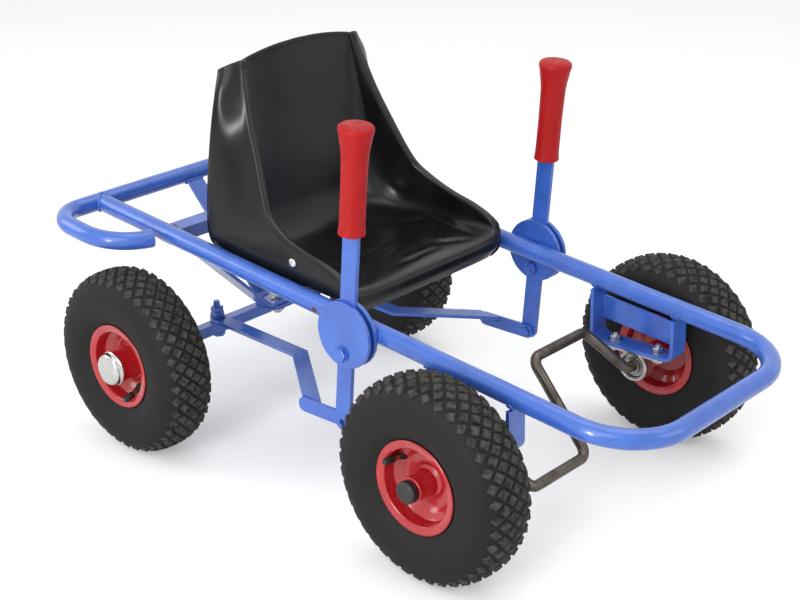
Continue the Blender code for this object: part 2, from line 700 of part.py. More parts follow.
def wheels(mats, empties):
    for name, empty, x, side, track in empties:
        centre = (x, side * track / 2, axle_z)
        front = "front" in name
        bore = rod_radius + bore_gap if front else rear_hub_bore
        hub_radius = front_hub_radius if front else rear_hub_radius
        solid(f"tyre_{name}", lathe(tyre_profile(), centre), mats["tyre_rubber"], empty)
        solid(f"rim_{name}", lathe(rim_profile(bore, hub_radius, side), centre), mats["rim_red"], empty)
        face = side * (track / 2 + hub_length / 2 + gap)
        if front:
            stations = [(0, axle_cap_radius - mm, False), (2 * mm, axle_cap_radius, False),
                        (9 * mm, axle_cap_radius, False), (11 * mm, axle_cap_radius - 2 * mm, False)]
            solid(f"axle_cap_{name}", turned((x, face, axle_z), (0, side, 0), stations), mats["cap_black"], empty)
        else:
            stations = [(0, hub_cap_radius - mm, False), (mm, hub_cap_radius, False),
                        (8 * mm, hub_cap_radius - 0.5 * mm, False), (11 * mm, hub_cap_radius - 3 * mm, False),
                        (12.5 * mm, hub_cap_radius - 8 * mm, False)]
            solid(f"hub_cap_{name}", turned((x, face, axle_z), (0, side, 0), stations, cope_facets),
                  mats["chrome"], empty)
            half = hub_length / 2 - mm
            low, high = stub_radius + bore_gap, bore - bore_gap
            solid(f"wheel_bearing_{name}",
                  lathe([(low, -half), (high, -half), (high, half), (low, half)], centre, 16),
                  mats["bearing_steel"], empty)


def seat(mats):
    """A bucket shell with deep skirts. Each row gives the centre line's x and height over the pan,
    then the wing crest's x, height over the pan and inset, then the same for the skirt's end."""
    rise = seat_height - pan_height
    stations = [[x * mm for x in row] for row in (
        (12, -24, 2, -24, 15, 2, -30, 14), (17, -12, 8, -8, 3, 6, -20, 2), (17, -2, 6, 11, 1, 2, -8, 0),
        (8, 2, -6, 22, 1, -8, -4, 0), (-25, 2, -35, 33, 0, -35, -2, 0), (-70, 0, -71, 42, 0, -70, 0, 0),
        (-110, 0, -98, 51, 0, -110, 2, 0), (-150, 1.2, -120, 62, 2, -160, 5, 0), (-183, 11, -139, 76, 6, -205, 9, 1),
        (-204, 34, -153, 100, 13, -238, 16, 1), (-213, 75, -172, 142, 23, -250, 40, 2),
        (-217, 130, -190, 182, 31, -246, 105, 4), (-219, 185, -203, 222, 39, -237, 175, 8),
        (-220, 230, -210, 245, 43, -232, 222, 15))]
    top = [-219 * mm, rise, -215 * mm, rise - 9 * mm, 46 * mm, -236 * mm, rise - 20 * mm, 26 * mm]
    power = 2 / seat_squareness
    across = [-pi / 2 + pi * i / 14 for i in range(15)]
    rows = []
    for cx, cz, ex, ez, inset, sx, sz, skirt_inset in smooth_curve(stations + [top], 2):
        centre, crest = Vector((cx, 0, pan_height + cz)), Vector((ex, 0, pan_height + ez))
        outer = seat_half_width - inset
        wall = outer - seat_crest
        row = []
        for angle in across:
            s, c = sin(angle), max(cos(angle), 0)
            point = centre + (crest - centre) * (1 - c ** power)
            point.y = wall * abs(s) ** power * (1 if s > 0 else -1)
            row.append(point)
        lift = Vector((crest.x - centre.x, 0, max(crest.z - centre.z, 0))).normalized()
        rim = [crest + lift * 3 * mm, crest.copy()]
        rim[0].y, rim[1].y = wall + seat_crest / 2, outer
        end = Vector((sx, seat_half_width - skirt_inset, pan_height + sz))
        bulge = (rim[1] + end) / 2
        bulge.y = max(end.y, outer)
        rim += [rim[1].lerp(bulge, 0.5).lerp(bulge.lerp(end, 0.5), 0.5), end]
        mirrored = [Vector((p.x, -p.y, p.z)) for p in reversed(rim)]
        rows.append(mirrored + row + rim)
    bm = bmesh.new()
    grid = [[bm.verts.new(point) for point in row] for row in rows]
    for lower, upper in zip(grid, grid[1:]):
        for i in range(len(lower) - 1):
            bm.faces.new((lower[i], lower[i + 1], upper[i + 1], upper[i]))
    shell = solid("seat", bm, mats["seat_black"])
    thicken = shell.modifiers.new("wall", "SOLIDIFY")
    thicken.thickness = seat_wall
    thicken.offset = 0
    thicken.use_even_offset = False
    hole = seat_bolt_radius + bore_gap
    for side in SIDES.values():
        boolean(shell, drum((seat_bolt_x, side * (seat_half_width + mm), seat_bolt_z), (0, 1, 0), hole, 10 * mm))


def seat_fixings(mats):
    rail = FRAME @ Vector((support_bar_x, 0, 0))
    top = pan_height - seat_wall / 2 - gap
    half = support_bar_width / 2
    bar = solid("seat_support_bar", block((rail.x - half, -rail_y, top - support_bar_thick),
                                          (rail.x + half, rail_y, top)), mats["frame_blue"])
    along = FRAME.to_3x3() @ Vector((1, 0, 0))
    for side in SIDES.values():
        boolean(bar, drum(Vector((rail.x, side * rail_y, rail.z)), along, tube_radius + gap, 90 * mm, cope_facets))

    rail_z = (FRAME @ Vector((seat_bolt_x, 0, 0))).z
    channel = seat_half_width - seat_crest / 2 - 0.25 * mm
    back, front = channel - tab_thick / 2, channel + tab_thick / 2
    foot = rail_y - tube_radius - gap
    low, high = rail_z - 7 * mm, rail_z + 3 * mm
    outline = [(back, low), (foot, low), (foot, high), (front, high), (front, tab_top), (back, tab_top)]
    for name, side in SIDES.items():
        stand = Matrix(((0, 0, 1, seat_bolt_x), (side, 0, 0, 0), (0, 1, 0, 0), (0, 0, 0, 1)))
        tab = solid(f"seat_tab_{name}", plate(outline, -tab_width / 2, tab_width / 2, stand), mats["frame_blue"])
        boolean(tab, drum((seat_bolt_x, side * channel, seat_bolt_z), (0, 1, 0), seat_bolt_radius + bore_gap, 20 * mm))
        face = seat_half_width + seat_wall / 2 + gap
        shank = seat_bolt_radius
        stations = [(back - face, shank, False), (0, shank, False), (0, 7 * mm, False), (1.5 * mm, 6.5 * mm, False),
                    (3.2 * mm, 4 * mm, False)]
        solid(f"seat_bolt_{name}", turned((seat_bolt_x, side * face, seat_bolt_z), (0, side, 0), stations, 14),
              mats["zinc"])


def build():
    for obj in list(bpy.data.objects):
        bpy.data.objects.remove(obj)
    mats = {
        "frame_blue": material("frame_blue", (0.055, 0.14, 0.58), 0.35, 0.0),
        "rim_red": material("rim_red", (0.5, 0.012, 0.018), 0.3, 0.0),
        "grip_red": material("grip_red", (0.6, 0.03, 0.03), 0.6, 0.0),
        "seat_black": material("seat_black", (0.012, 0.012, 0.014), 0.4, 0.0),
        "tyre_rubber": material("tyre_rubber", (0.018, 0.018, 0.018), 0.8, 0.0),
        "cap_black": material("cap_black", (0.015, 0.015, 0.015), 0.5, 0.0),
        "zinc": material("zinc", (0.6, 0.6, 0.58), 0.35, 1.0),
        "chrome": material("chrome", (0.75, 0.75, 0.75), 0.12, 1.0),
        "bearing_steel": material("bearing_steel", (0.45, 0.45, 0.45), 0.3, 1.0),
        "raw_steel": material("raw_steel", (0.16, 0.13, 0.11), 0.45, 1.0),
    }
    axle_empty = pivot("rear_axle_pivot", Vector((kingpin_x, 0, axle_z)))
    crank_empty = pivot("crank_axis", Vector((front_axle_x, 0, axle_z)))

    frame_tubes(mats)
    pivot_hanger(mats)
    rear_axle(mats, axle_empty)
    for name, side in SIDES.items():
        link_empty = pivot(f"link_pivot_{name}", Vector((rear_axle_x, side * link_arm_y, axle_z)))
        steering_link(mats, name, side, link_empty)
        lever_empty = pivot(f"lever_pivot_{name}", Vector((lever_pivot.x, side * lever_y, lever_pivot.z)))
        steering_lever(mats, name, side, lever_empty)
        lever_pivot_plates(mats, name, side)
        front_bracket(mats, name, side)
    crank(mats, crank_empty)

    wheel_places = []
    for name, side in SIDES.items():
        for end, x, track in (("front", front_axle_x, front_track), ("rear", rear_axle_x, rear_track)):
            hub = pivot(f"wheel_axis_{end}_{name}", Vector((x, side * track / 2, axle_z)))
            wheel_places.append((f"{end}_{name}", hub, x, side, track))
    wheels(mats, wheel_places)
    seat(mats)
    seat_fixings(mats)


build()
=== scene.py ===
import json
from math import ceil, cos, exp, pi, radians, sin, sqrt, tan

import bmesh
import bpy
from mathutils import Matrix, Vector


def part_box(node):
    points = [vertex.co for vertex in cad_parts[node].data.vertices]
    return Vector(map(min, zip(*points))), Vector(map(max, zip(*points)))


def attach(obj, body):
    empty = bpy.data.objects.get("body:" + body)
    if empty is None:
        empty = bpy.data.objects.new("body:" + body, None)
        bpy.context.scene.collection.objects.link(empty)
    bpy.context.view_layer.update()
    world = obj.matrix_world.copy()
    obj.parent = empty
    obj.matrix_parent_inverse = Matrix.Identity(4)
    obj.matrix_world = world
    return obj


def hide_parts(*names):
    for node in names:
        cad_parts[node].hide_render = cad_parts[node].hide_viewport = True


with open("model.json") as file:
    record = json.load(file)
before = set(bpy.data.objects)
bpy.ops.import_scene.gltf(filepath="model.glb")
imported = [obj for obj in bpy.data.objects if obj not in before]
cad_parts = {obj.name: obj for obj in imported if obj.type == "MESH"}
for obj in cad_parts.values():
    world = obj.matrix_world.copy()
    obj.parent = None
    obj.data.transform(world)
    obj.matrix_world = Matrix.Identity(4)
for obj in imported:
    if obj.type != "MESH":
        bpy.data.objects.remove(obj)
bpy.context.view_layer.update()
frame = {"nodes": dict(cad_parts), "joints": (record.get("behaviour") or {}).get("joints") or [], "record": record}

mm = 0.001
sides = {"left": 1, "right": -1}
print("frame loaded")

shot = {"azimuth": radians(43.03), "elevation": radians(22.17), "roll": radians(-1.66),
        "target": Vector((-0.044, 0.002, 0.206)), "distance": 2.174, "lens": 72, "sensor": 36}


def aimCamera():
    turn = Matrix.Rotation(shot["azimuth"], 4, "Z") @ Matrix.Rotation(pi / 2 - shot["elevation"], 4, "X")
    turn = turn @ Matrix.Rotation(shot["roll"], 4, "Z")
    data = bpy.data.cameras.new("cartCamera")
    data.lens, data.sensor_width = shot["lens"], shot["sensor"]
    camera = bpy.data.objects.new("cartCamera", data)
    back = turn.to_3x3() @ Vector((0, 0, 1))
    camera.matrix_world = Matrix.Translation(shot["target"] + back * shot["distance"]) @ turn
    bpy.context.scene.collection.objects.link(camera)
    bpy.context.scene.camera = camera


aimCamera()
print("camera placed")


def addNode(tree, kind, inputs=None, **settings):
    node = tree.nodes.new(kind)
    for key, value in settings.items():
        setattr(node, key, value)
    for key, value in (inputs or {}).items():
        if isinstance(value, bpy.types.NodeSocket):
            tree.links.new(value, node.inputs[key])
        else:
            node.inputs[key].default_value = value
    return node


def newGroup(name, kind, sockets, outputs):
    tree = bpy.data.node_groups.new(name, kind)
    for label, socketType, value in sockets:
        socket = tree.interface.new_socket(label, in_out="INPUT", socket_type=socketType)
        if value is not None:
            socket.default_value = value
    for label, socketType in outputs:
        tree.interface.new_socket(label, in_out="OUTPUT", socket_type=socketType)
    return tree, tree.nodes.new("NodeGroupInput"), tree.nodes.new("NodeGroupOutput")


def sum2(tree, operation, first, second):
    return addNode(tree, "ShaderNodeMath", {0: first, 1: second}, operation=operation).outputs[0]


def grainGroup():
    tree, start, end = newGroup("grainField", "ShaderNodeTree",
                                [("Scale", "NodeSocketFloat", 100.0), ("Detail", "NodeSocketFloat", 3.0),
                                 ("Stretch", "NodeSocketVector", (1, 1, 1)),
                                 ("Low", "NodeSocketFloat", 0.35), ("High", "NodeSocketFloat", 0.65)],
                                [("Mask", "NodeSocketFloat"), ("Height", "NodeSocketFloat")])
    place = addNode(tree, "ShaderNodeTexCoord").outputs["Object"]
    stretched = addNode(tree, "ShaderNodeVectorMath", {0: place, 1: start.outputs["Stretch"]},
                        operation="MULTIPLY")
    noise = addNode(tree, "ShaderNodeTexNoise", {"Vector": stretched.outputs[0], "Scale": start.outputs["Scale"],
                                                 "Detail": start.outputs["Detail"]})
    ramp = addNode(tree, "ShaderNodeMapRange", {"Value": noise.outputs["Fac"], "From Min": start.outputs["Low"],
                                                "From Max": start.outputs["High"]})
    tree.links.new(ramp.outputs[0], end.inputs["Mask"])
    tree.links.new(noise.outputs["Fac"], end.inputs["Height"])
    return tree


def spotGroup():
    tree, start, end = newGroup("spotField", "ShaderNodeTree",
                                [("Centre", "NodeSocketVector", (0, 0, 0)),
                                 ("Radius", "NodeSocketFloat", 0.01),
                                 ("Ragged", "NodeSocketFloat", 0.5)],
                                [("Mask", "NodeSocketFloat")])
    place = addNode(tree, "ShaderNodeTexCoord").outputs["Object"]
    away = addNode(tree, "ShaderNodeVectorMath", {0: place, 1: start.outputs["Centre"]}, operation="DISTANCE")
    share = sum2(tree, "DIVIDE", away.outputs["Value"], start.outputs["Radius"])
    noise = addNode(tree, "ShaderNodeTexNoise", {"Vector": place, "Scale": 260.0, "Detail": 4.0})
    ragged = sum2(tree, "MULTIPLY", sum2(tree, "SUBTRACT", noise.outputs["Fac"], 0.5), start.outputs["Ragged"])
    edge = sum2(tree, "ADD", share, sum2(tree, "MULTIPLY", ragged, 3.0))
    ramp = addNode(tree, "ShaderNodeMapRange", {"Value": edge, "From Min": 1.0, "From Max": 0.7})
    tree.links.new(ramp.outputs[0], end.inputs["Mask"])
    return tree


grainField, spotField = grainGroup(), spotGroup()

# what each material is made of: two colours, a range of roughness, and a fine bump
finishes = {
    "framePaint": {"colour": (0.046, 0.145, 0.580), "second": (0.037, 0.115, 0.480), "grainScale": 38.0,
                   "rough": (0.24, 0.36), "coat": 0.6, "coatRough": 0.12, "bumpScale": 420.0, "bump": 0.05,
                   "worn": (0.16, 0.055, 0.022), "wornRough": 0.85},
    "rimPaint": {"colour": (0.470, 0.010, 0.015), "second": (0.370, 0.007, 0.011), "grainScale": 30.0,
                 "rough": (0.18, 0.30), "coat": 0.7, "coatRough": 0.08, "bumpScale": 500.0, "bump": 0.04},
    "gripRubber": {"colour": (0.420, 0.0042, 0.0045), "second": (0.370, 0.0035, 0.0038), "grainScale": 60.0,
                   "spec": 0.28, "rough": (0.42, 0.56), "bumpScale": 900.0, "bump": 0.10},
    "seatPlastic": {"colour": (0.0050, 0.0050, 0.0058), "second": (0.0078, 0.0078, 0.0085), "grainScale": 24.0,
                    "rough": (0.20, 0.28), "spec": 0.36, "stretch": (1.0, 1.0, 0.25), "bumpScale": 700.0,
                    "bump": 0.05},
    "tyreRubber": {"colour": (0.0085, 0.0085, 0.009), "second": (0.014, 0.0135, 0.013), "grainScale": 45.0,
                   "spec": 0.22, "rough": (0.55, 0.72), "bumpScale": 900.0, "bump": 0.15},
    "treadRubber": {"colour": (0.013, 0.013, 0.013), "second": (0.070, 0.066, 0.058), "grainScale": 130.0,
                    "spec": 0.25, "rough": (0.70, 0.90), "bumpScale": 1100.0, "bump": 0.3},
    "capPlastic": {"colour": (0.012, 0.012, 0.013), "second": (0.020, 0.020, 0.021), "grainScale": 120.0,
                   "rough": (0.35, 0.5), "bumpScale": 900.0, "bump": 0.08},
    "zincPlate": {"colour": (0.62, 0.62, 0.60), "second": (0.48, 0.48, 0.46), "grainScale": 160.0,
                  "metal": 1.0, "rough": (0.22, 0.40), "bumpScale": 900.0, "bump": 0.08},
    "chromePlate": {"colour": (0.66, 0.66, 0.64), "second": (0.60, 0.60, 0.58), "grainScale": 70.0,
                    "metal": 1.0, "rough": (0.07, 0.14), "bumpScale": 300.0, "bump": 0.01},
    "bearingSteel": {"colour": (0.42, 0.41, 0.39), "second": (0.30, 0.28, 0.26), "grainScale": 200.0,
                     "metal": 1.0, "rough": (0.25, 0.42), "bumpScale": 900.0, "bump": 0.08},
    "rawSteel": {"colour": (0.155, 0.135, 0.118), "second": (0.085, 0.070, 0.060), "grainScale": 55.0,
                 "metal": 1.0, "rough": (0.28, 0.46), "bumpScale": 600.0, "bump": 0.12},
    "valveBrass": {"colour": (0.42, 0.26, 0.085), "second": (0.20, 0.13, 0.055), "grainScale": 180.0,
                   "metal": 1.0, "rough": (0.3, 0.45), "bumpScale": 900.0, "bump": 0.08},
    # painted shade: a dark rust-coloured finish for the disc inside the rail's hole, standing in for the shaded
    # hollow of the tube
    "holeShadeRust": {"colour": (0.11, 0.045, 0.022), "second": (0.05, 0.022, 0.014), "grainScale": 300.0,
                    "rough": (0.8, 0.95), "bumpScale": 900.0, "bump": 0.5},
}

# rust comes through the paint at a few welds and edges
rustSpots = [((-0.322, -0.158, 0.296), 0.011), ((-0.289, -0.150, 0.262), 0.020),
             ((-0.275, -0.143, 0.252), 0.014), ((-0.021, -0.1815, 0.2560), 0.0052),
             ((-0.289, 0.150, 0.262), 0.014), ((-0.322, 0.158, 0.296), 0.008)]


def makeMaterial(name):
    look = finishes[name]
    made = bpy.data.materials.new(name)
    made.use_nodes = True
    tree = made.node_tree
    shader = tree.nodes["Principled BSDF"]
    shader.inputs["Specular IOR Level"].default_value = look.get("spec", 0.5)
    grain = addNode(tree, "ShaderNodeGroup", {}, node_tree=grainField)
    grain.inputs["Scale"].default_value = look["grainScale"]
    grain.inputs["Stretch"].default_value = look.get("stretch", (1, 1, 1))
    fine = addNode(tree, "ShaderNodeGroup", {}, node_tree=grainField)
    fine.inputs["Scale"].default_value = look["bumpScale"]
    colour = addNode(tree, "ShaderNodeMix", {0: grain.outputs["Mask"]}, data_type="RGBA")
    colour.inputs[6].default_value = (*look["colour"], 1)
    colour.inputs[7].default_value = (*look["second"], 1)
    colourOut = colour.outputs[2]
    rough = addNode(tree, "ShaderNodeMapRange", {"Value": grain.outputs["Mask"], "To Min": look["rough"][0],
                                                 "To Max": look["rough"][1]})
    roughOut = rough.outputs[0]
    if "worn" in look:
        mask = None
        for centre, radius in rustSpots:
            spot = addNode(tree, "ShaderNodeGroup", {}, node_tree=spotField)
            spot.inputs["Centre"].default_value = centre
            spot.inputs["Radius"].default_value = radius
            mask = spot.outputs["Mask"] if mask is None else sum2(tree, "MAXIMUM", mask, spot.outputs["Mask"])
        worn = addNode(tree, "ShaderNodeMix", {0: mask, 6: colourOut}, data_type="RGBA")
        worn.inputs[7].default_value = (*look["worn"], 1)
        colourOut = worn.outputs[2]
        wornRough = addNode(tree, "ShaderNodeMix", {0: mask, 2: roughOut, 3: look["wornRough"]})
        roughOut = wornRough.outputs[0]
        coat = addNode(tree, "ShaderNodeMapRange", {"Value": mask, "To Min": look["coat"], "To Max": 0.0})
        tree.links.new(coat.outputs[0], shader.inputs["Coat Weight"])
    elif "coat" in look:
        shader.inputs["Coat Weight"].default_value = look["coat"]
    if "coatRough" in look:
        shader.inputs["Coat Roughness"].default_value = look["coatRough"]
    tree.links.new(colourOut, shader.inputs["Base Color"])
    tree.links.new(roughOut, shader.inputs["Roughness"])
    shader.inputs["Metallic"].default_value = look.get("metal", 0.0)
    bump = addNode(tree, "ShaderNodeBump", {"Height": fine.outputs["Height"], "Strength": look["bump"],
                                            "Distance": 0.0006})
    tree.links.new(bump.outputs[0], shader.inputs["Normal"])
    return made


materials = {name: makeMaterial(name) for name in finishes}
print("materials made")


def finishPiece(name, mesh, finish, body, replaced=(), sharp=38):
    mesh.materials.clear()
    mesh.materials.append(materials[finish])
    mesh.shade_smooth()
    mesh.set_sharp_from_angle(angle=radians(sharp))
    piece = bpy.data.objects.new(name, mesh)
    bpy.context.scene.collection.objects.link(piece)
    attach(piece, body)
    if replaced:
        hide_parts(*replaced)
    return piece


def makePiece(name, bm, finish, body, replaced=(), sharp=38, turnOut=True):
    if turnOut:
        bmesh.ops.recalc_face_normals(bm, faces=bm.faces)
    mesh = bpy.data.meshes.new(name)
    bm.to_mesh(mesh)
    bm.free()
    return finishPiece(name, mesh, finish, body, replaced, sharp)


def skin(rings, closed=False, caps=True):
    bm = bmesh.new()
    loops = [[bm.verts.new(point) for point in ring] for ring in rings]
    pairs = list(zip(loops, loops[1:])) + ([(loops[-1], loops[0])] if closed else [])
    count = len(loops[0])
    for first, second in pairs:
        for i in range(count):
            bm.faces.new((first[i], first[(i + 1) % count], second[(i + 1) % count], second[i]))
    if caps and not closed:
        bm.faces.new(loops[0])
        bm.faces.new(loops[-1][::-1])
    return bm


def ring(centre, across, up, radius, count):
    angles = [2 * pi * i / count for i in range(count)]
    return [centre + radius * (cos(a) * across + sin(a) * up) for a in angles]


def bentPath(points, bends, step=radians(6)):
    path = [points[0]]
    for before, corner, after, bend in zip(points, points[1:], points[2:], bends):
        back, ahead = (before - corner).normalized(), (after - corner).normalized()
        turn = pi - back.angle(ahead)
        start = corner + back * (bend * tan(turn / 2))
        centre = corner + (back + ahead).normalized() * (bend / cos(turn / 2))
        axis = back.cross(ahead).normalized()
        count = ceil(turn / step)
        path += [centre + Matrix.Rotation(-turn * i / count, 3, axis) @ (start - centre)
                 for i in range(count + 1)]
    return path + [points[-1]]


def carried(path):
    last = len(path) - 1
    tangents = [(path[min(i + 1, last)] - path[max(i - 1, 0)]).normalized() for i in range(last + 1)]
    up = tangents[0].orthogonal().normalized()
    frames = []
    for point, tangent in zip(path, tangents):
        across = tangent.cross(up).normalized()
        up = across.cross(tangent).normalized()
        frames.append((point, across, up))
    return frames


def sweptTube(path, radius, wall, count=32):
    frames = carried(path)
    outer = [ring(p, a, u, radius, count) for p, a, u in frames]
    inner = [ring(p, a, u, radius - wall, count) for p, a, u in reversed(frames)]
    return skin(outer + inner, closed=True)


def drum(centre, axis, radius, length, count=32):
    axis = Vector(axis).normalized()
    across = axis.orthogonal().normalized()
    up = axis.cross(across)
    ends = [Vector(centre) + axis * length * end for end in (-0.5, 0.5)]
    return skin([ring(place, across, up, radius, count) for place in ends])


def carve(piece, tools):
    for bm in tools:
        bmesh.ops.recalc_face_normals(bm, faces=bm.faces)
        mesh = bpy.data.meshes.new("cutter")
        bm.to_mesh(mesh)
        bm.free()
        cutter = bpy.data.objects.new("cutter", mesh)
        bpy.context.scene.collection.objects.link(cutter)
        cut = piece.modifiers.new("cut", "BOOLEAN")
        cut.operation, cut.solver, cut.object = "DIFFERENCE", "EXACT", cutter
        bpy.context.view_layer.update()
        shape = bpy.data.meshes.new_from_object(piece.evaluated_get(bpy.context.evaluated_depsgraph_get()))
        piece.modifiers.clear()
        piece.data = shape
        bpy.data.objects.remove(cutter)
    piece.data.shade_smooth()
    piece.data.set_sharp_from_angle(angle=radians(38))


def lathe(profile, centre, count, axis=(0, 1, 0)):
    axis = Vector(axis)
    across = axis.orthogonal().normalized()
    up = axis.cross(across)
    rings = []
    for i in range(count):
        spoke = cos(2 * pi * i / count) * across + sin(2 * pi * i / count) * up
        rings.append([Vector(centre) + spoke * radius + axis * along for radius, along in profile])
    return rings


def turned(profile, centre, count, axis):
    return skin([list(column) for column in zip(*lathe(profile, centre, count, axis))])


def roundProfile(points, radius, steps=4):
    smooth = []
    count = len(points)
    for i, corner in enumerate(points):
        corner = Vector(corner)
        before, after = Vector(points[i - 1]), Vector(points[(i + 1) % count])
        reach = min(radius, (before - corner).length * 0.45, (after - corner).length * 0.45)
        start, end = (corner + (other - corner).normalized() * reach for other in (before, after))
        for step in range(steps + 1):
            t = step / steps
            smooth.append(tuple((1 - t) ** 2 * start + 2 * t * (1 - t) * corner + t * t * end))
    return smooth


def bodyOf(node):
    return next(body for body, members in frame["record"]["behaviour"]["bodies"].items() if node in members)


def refine(node, name, finish, bevel=0.8 * mm, segments=2):
    # a CAD solid's own shape with its edges broken
    mesh = frame["nodes"][node].data.copy()
    bm = bmesh.new()
    bm.from_mesh(mesh)
    bmesh.ops.remove_doubles(bm, verts=bm.verts, dist=1e-6)
    bmesh.ops.dissolve_limit(bm, angle_limit=radians(0.5), verts=bm.verts, edges=bm.edges)
    piece = makePiece(name, bm, finish, bodyOf(node), [node], turnOut=False)
    bpy.data.meshes.remove(mesh)
    edge = piece.modifiers.new("edges", "BEVEL")
    edge.width, edge.segments, edge.limit_method, edge.angle_limit = bevel, segments, "ANGLE", radians(38)
    edge.harden_normals = True
    return piece


def middle(node):
    low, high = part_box(node)
    return (low + high) / 2


def runTree(name, tree, points, values, finish, body, replaced=(), attributes=None, sharp=38):
    mesh = bpy.data.meshes.new(name)
    edges = []
    flat = []
    for line in points:
        first = len(flat)
        flat += [tuple(p) for p in line]
        edges += [(first + i, first + i + 1) for i in range(len(line) - 1)]
    mesh.from_pydata(flat, edges, [])
    for label, (kind, data) in (attributes or {}).items():
        layer = mesh.attributes.new(label, kind, "POINT")
        for i, value in enumerate(data):
            if kind == "FLOAT_VECTOR":
                layer.data[i].vector = value
            else:
                layer.data[i].value = value
    source = bpy.data.objects.new(name + "Source", mesh)
    bpy.context.scene.collection.objects.link(source)
    grow = source.modifiers.new("grow", "NODES")
    grow.node_group = tree
    named = {item.name: item.identifier for item in tree.interface.items_tree if item.in_out == "INPUT"}
    for label, value in values.items():
        grow[named[label]] = value
    bpy.context.view_layer.update()
    shape = bpy.data.meshes.new_from_object(source.evaluated_get(bpy.context.evaluated_depsgraph_get()))
    source.modifiers.clear()
    bpy.data.objects.remove(source)
    shape.name = name
    return finishPiece(name, shape, finish, body, replaced, sharp)


def endTree(tree, geometry, finishSocket, end):
    solid = addNode(tree, "GeometryNodeRealizeInstances", {"Geometry": geometry})
    painted = addNode(tree, "GeometryNodeSetMaterial",
                      {"Geometry": solid.outputs[0], "Material": finishSocket})
    tree.links.new(painted.outputs[0], end.inputs[0])


def treadRowTree():
    tree, start, end = newGroup("treadRow", "GeometryNodeTree",
                                [("Radius", "NodeSocketFloat", 0.13), ("Offset", "NodeSocketFloat", 0.0),
                                 ("Tilt", "NodeSocketFloat", 0.0), ("Blocks", "NodeSocketInt", 38),
                                 ("Phase", "NodeSocketFloat", 0.0), ("Yaw", "NodeSocketFloat", 0.785),
                                 ("Block Size", "NodeSocketVector", (0.011, 0.011, 0.004))],
                                [("Geometry", "NodeSocketGeometry")])
    own = start.outputs
    circle = addNode(tree, "GeometryNodeMeshCircle", {"Vertices": own["Blocks"], "Radius": own["Radius"]})
    turn = addNode(tree, "ShaderNodeCombineXYZ", {0: pi / 2, 2: 0.0})
    spin = addNode(tree, "ShaderNodeCombineXYZ", {2: own["Phase"]})
    shift = addNode(tree, "ShaderNodeCombineXYZ", {1: own["Offset"]})
    phased = addNode(tree, "GeometryNodeTransform",
                     {"Geometry": circle.outputs[0], "Rotation": spin.outputs[0]})
    stood = addNode(tree, "GeometryNodeTransform", {"Geometry": phased.outputs[0], "Rotation": turn.outputs[0],
                                                    "Translation": shift.outputs[0]})
    here = addNode(tree, "ShaderNodeSeparateXYZ", {0: addNode(tree, "GeometryNodeInputPosition").outputs[0]})
    radial = addNode(tree, "ShaderNodeCombineXYZ", {0: here.outputs[0], 2: here.outputs[2]})
    unit = addNode(tree, "ShaderNodeVectorMath", {0: radial.outputs[0]}, operation="NORMALIZE")
    lean = addNode(tree, "ShaderNodeCombineXYZ", {1: sum2(tree, "TANGENT", own["Tilt"], 0.0)})
    normal = addNode(tree, "ShaderNodeVectorMath", {0: unit.outputs[0], 1: lean.outputs[0]}, operation="ADD")
    aim = addNode(tree, "FunctionNodeAxesToRotation", {0: normal.outputs[0], 1: (0, 1, 0)},
                  primary_axis="Z", secondary_axis="Y")
    yaw = addNode(tree, "FunctionNodeAxisAngleToRotation", {"Axis": (0, 0, 1), "Angle": own["Yaw"]})
    twisted = addNode(tree, "FunctionNodeRotateRotation", {0: aim.outputs[0], 1: yaw.outputs[0]},
                      rotation_space="LOCAL")
    block = addNode(tree, "GeometryNodeMeshCube", {"Size": own["Block Size"]})
    face = addNode(tree, "ShaderNodeSeparateXYZ", {0: addNode(tree, "GeometryNodeInputNormal").outputs[0]})
    top = sum2(tree, "GREATER_THAN", face.outputs[2], 0.5)
    taper = addNode(tree, "GeometryNodeScaleElements",
                    {"Geometry": block.outputs[0], "Selection": top, "Scale": 0.84})
    placed = addNode(tree, "GeometryNodeInstanceOnPoints",
                     {"Points": stood.outputs[0], "Instance": taper.outputs[0],
                      "Rotation": twisted.outputs[0]})
    tree.links.new(placed.outputs[0], end.inputs[0])
    return tree


def weldTree():
    tree, start, end = newGroup("weldBead", "GeometryNodeTree",
                                [("Geometry", "NodeSocketGeometry", None),
                                 ("Spacing", "NodeSocketFloat", 0.0018),
                                 ("Radius", "NodeSocketFloat", 0.0028), ("Seed", "NodeSocketInt", 3),
                                 ("Material", "NodeSocketMaterial", None)],
                                [("Geometry", "NodeSocketGeometry")])
    own = start.outputs
    line = addNode(tree, "GeometryNodeMeshToCurve", {"Mesh": own["Geometry"]})
    stepped = addNode(tree, "GeometryNodeResampleCurve", {"Curve": line.outputs[0]})
    mode = stepped.inputs.get("Mode")
    if mode is not None:
        mode.default_value = "Length"
    else:
        stepped.mode = "LENGTH"
    tree.links.new(own["Spacing"], stepped.inputs["Length"])
    drop = addNode(tree, "GeometryNodeMeshUVSphere", {"Segments": 8, "Rings": 5, "Radius": own["Radius"]})
    vary = addNode(tree, "FunctionNodeRandomValue", {2: 0.82, 3: 1.15, "Seed": own["Seed"]}, data_type="FLOAT")
    placed = addNode(tree, "GeometryNodeInstanceOnPoints",
                     {"Points": stepped.outputs[0], "Instance": drop.outputs[0], "Scale": vary.outputs[1]})
    endTree(tree, placed.outputs[0], own["Material"], end)
    return tree


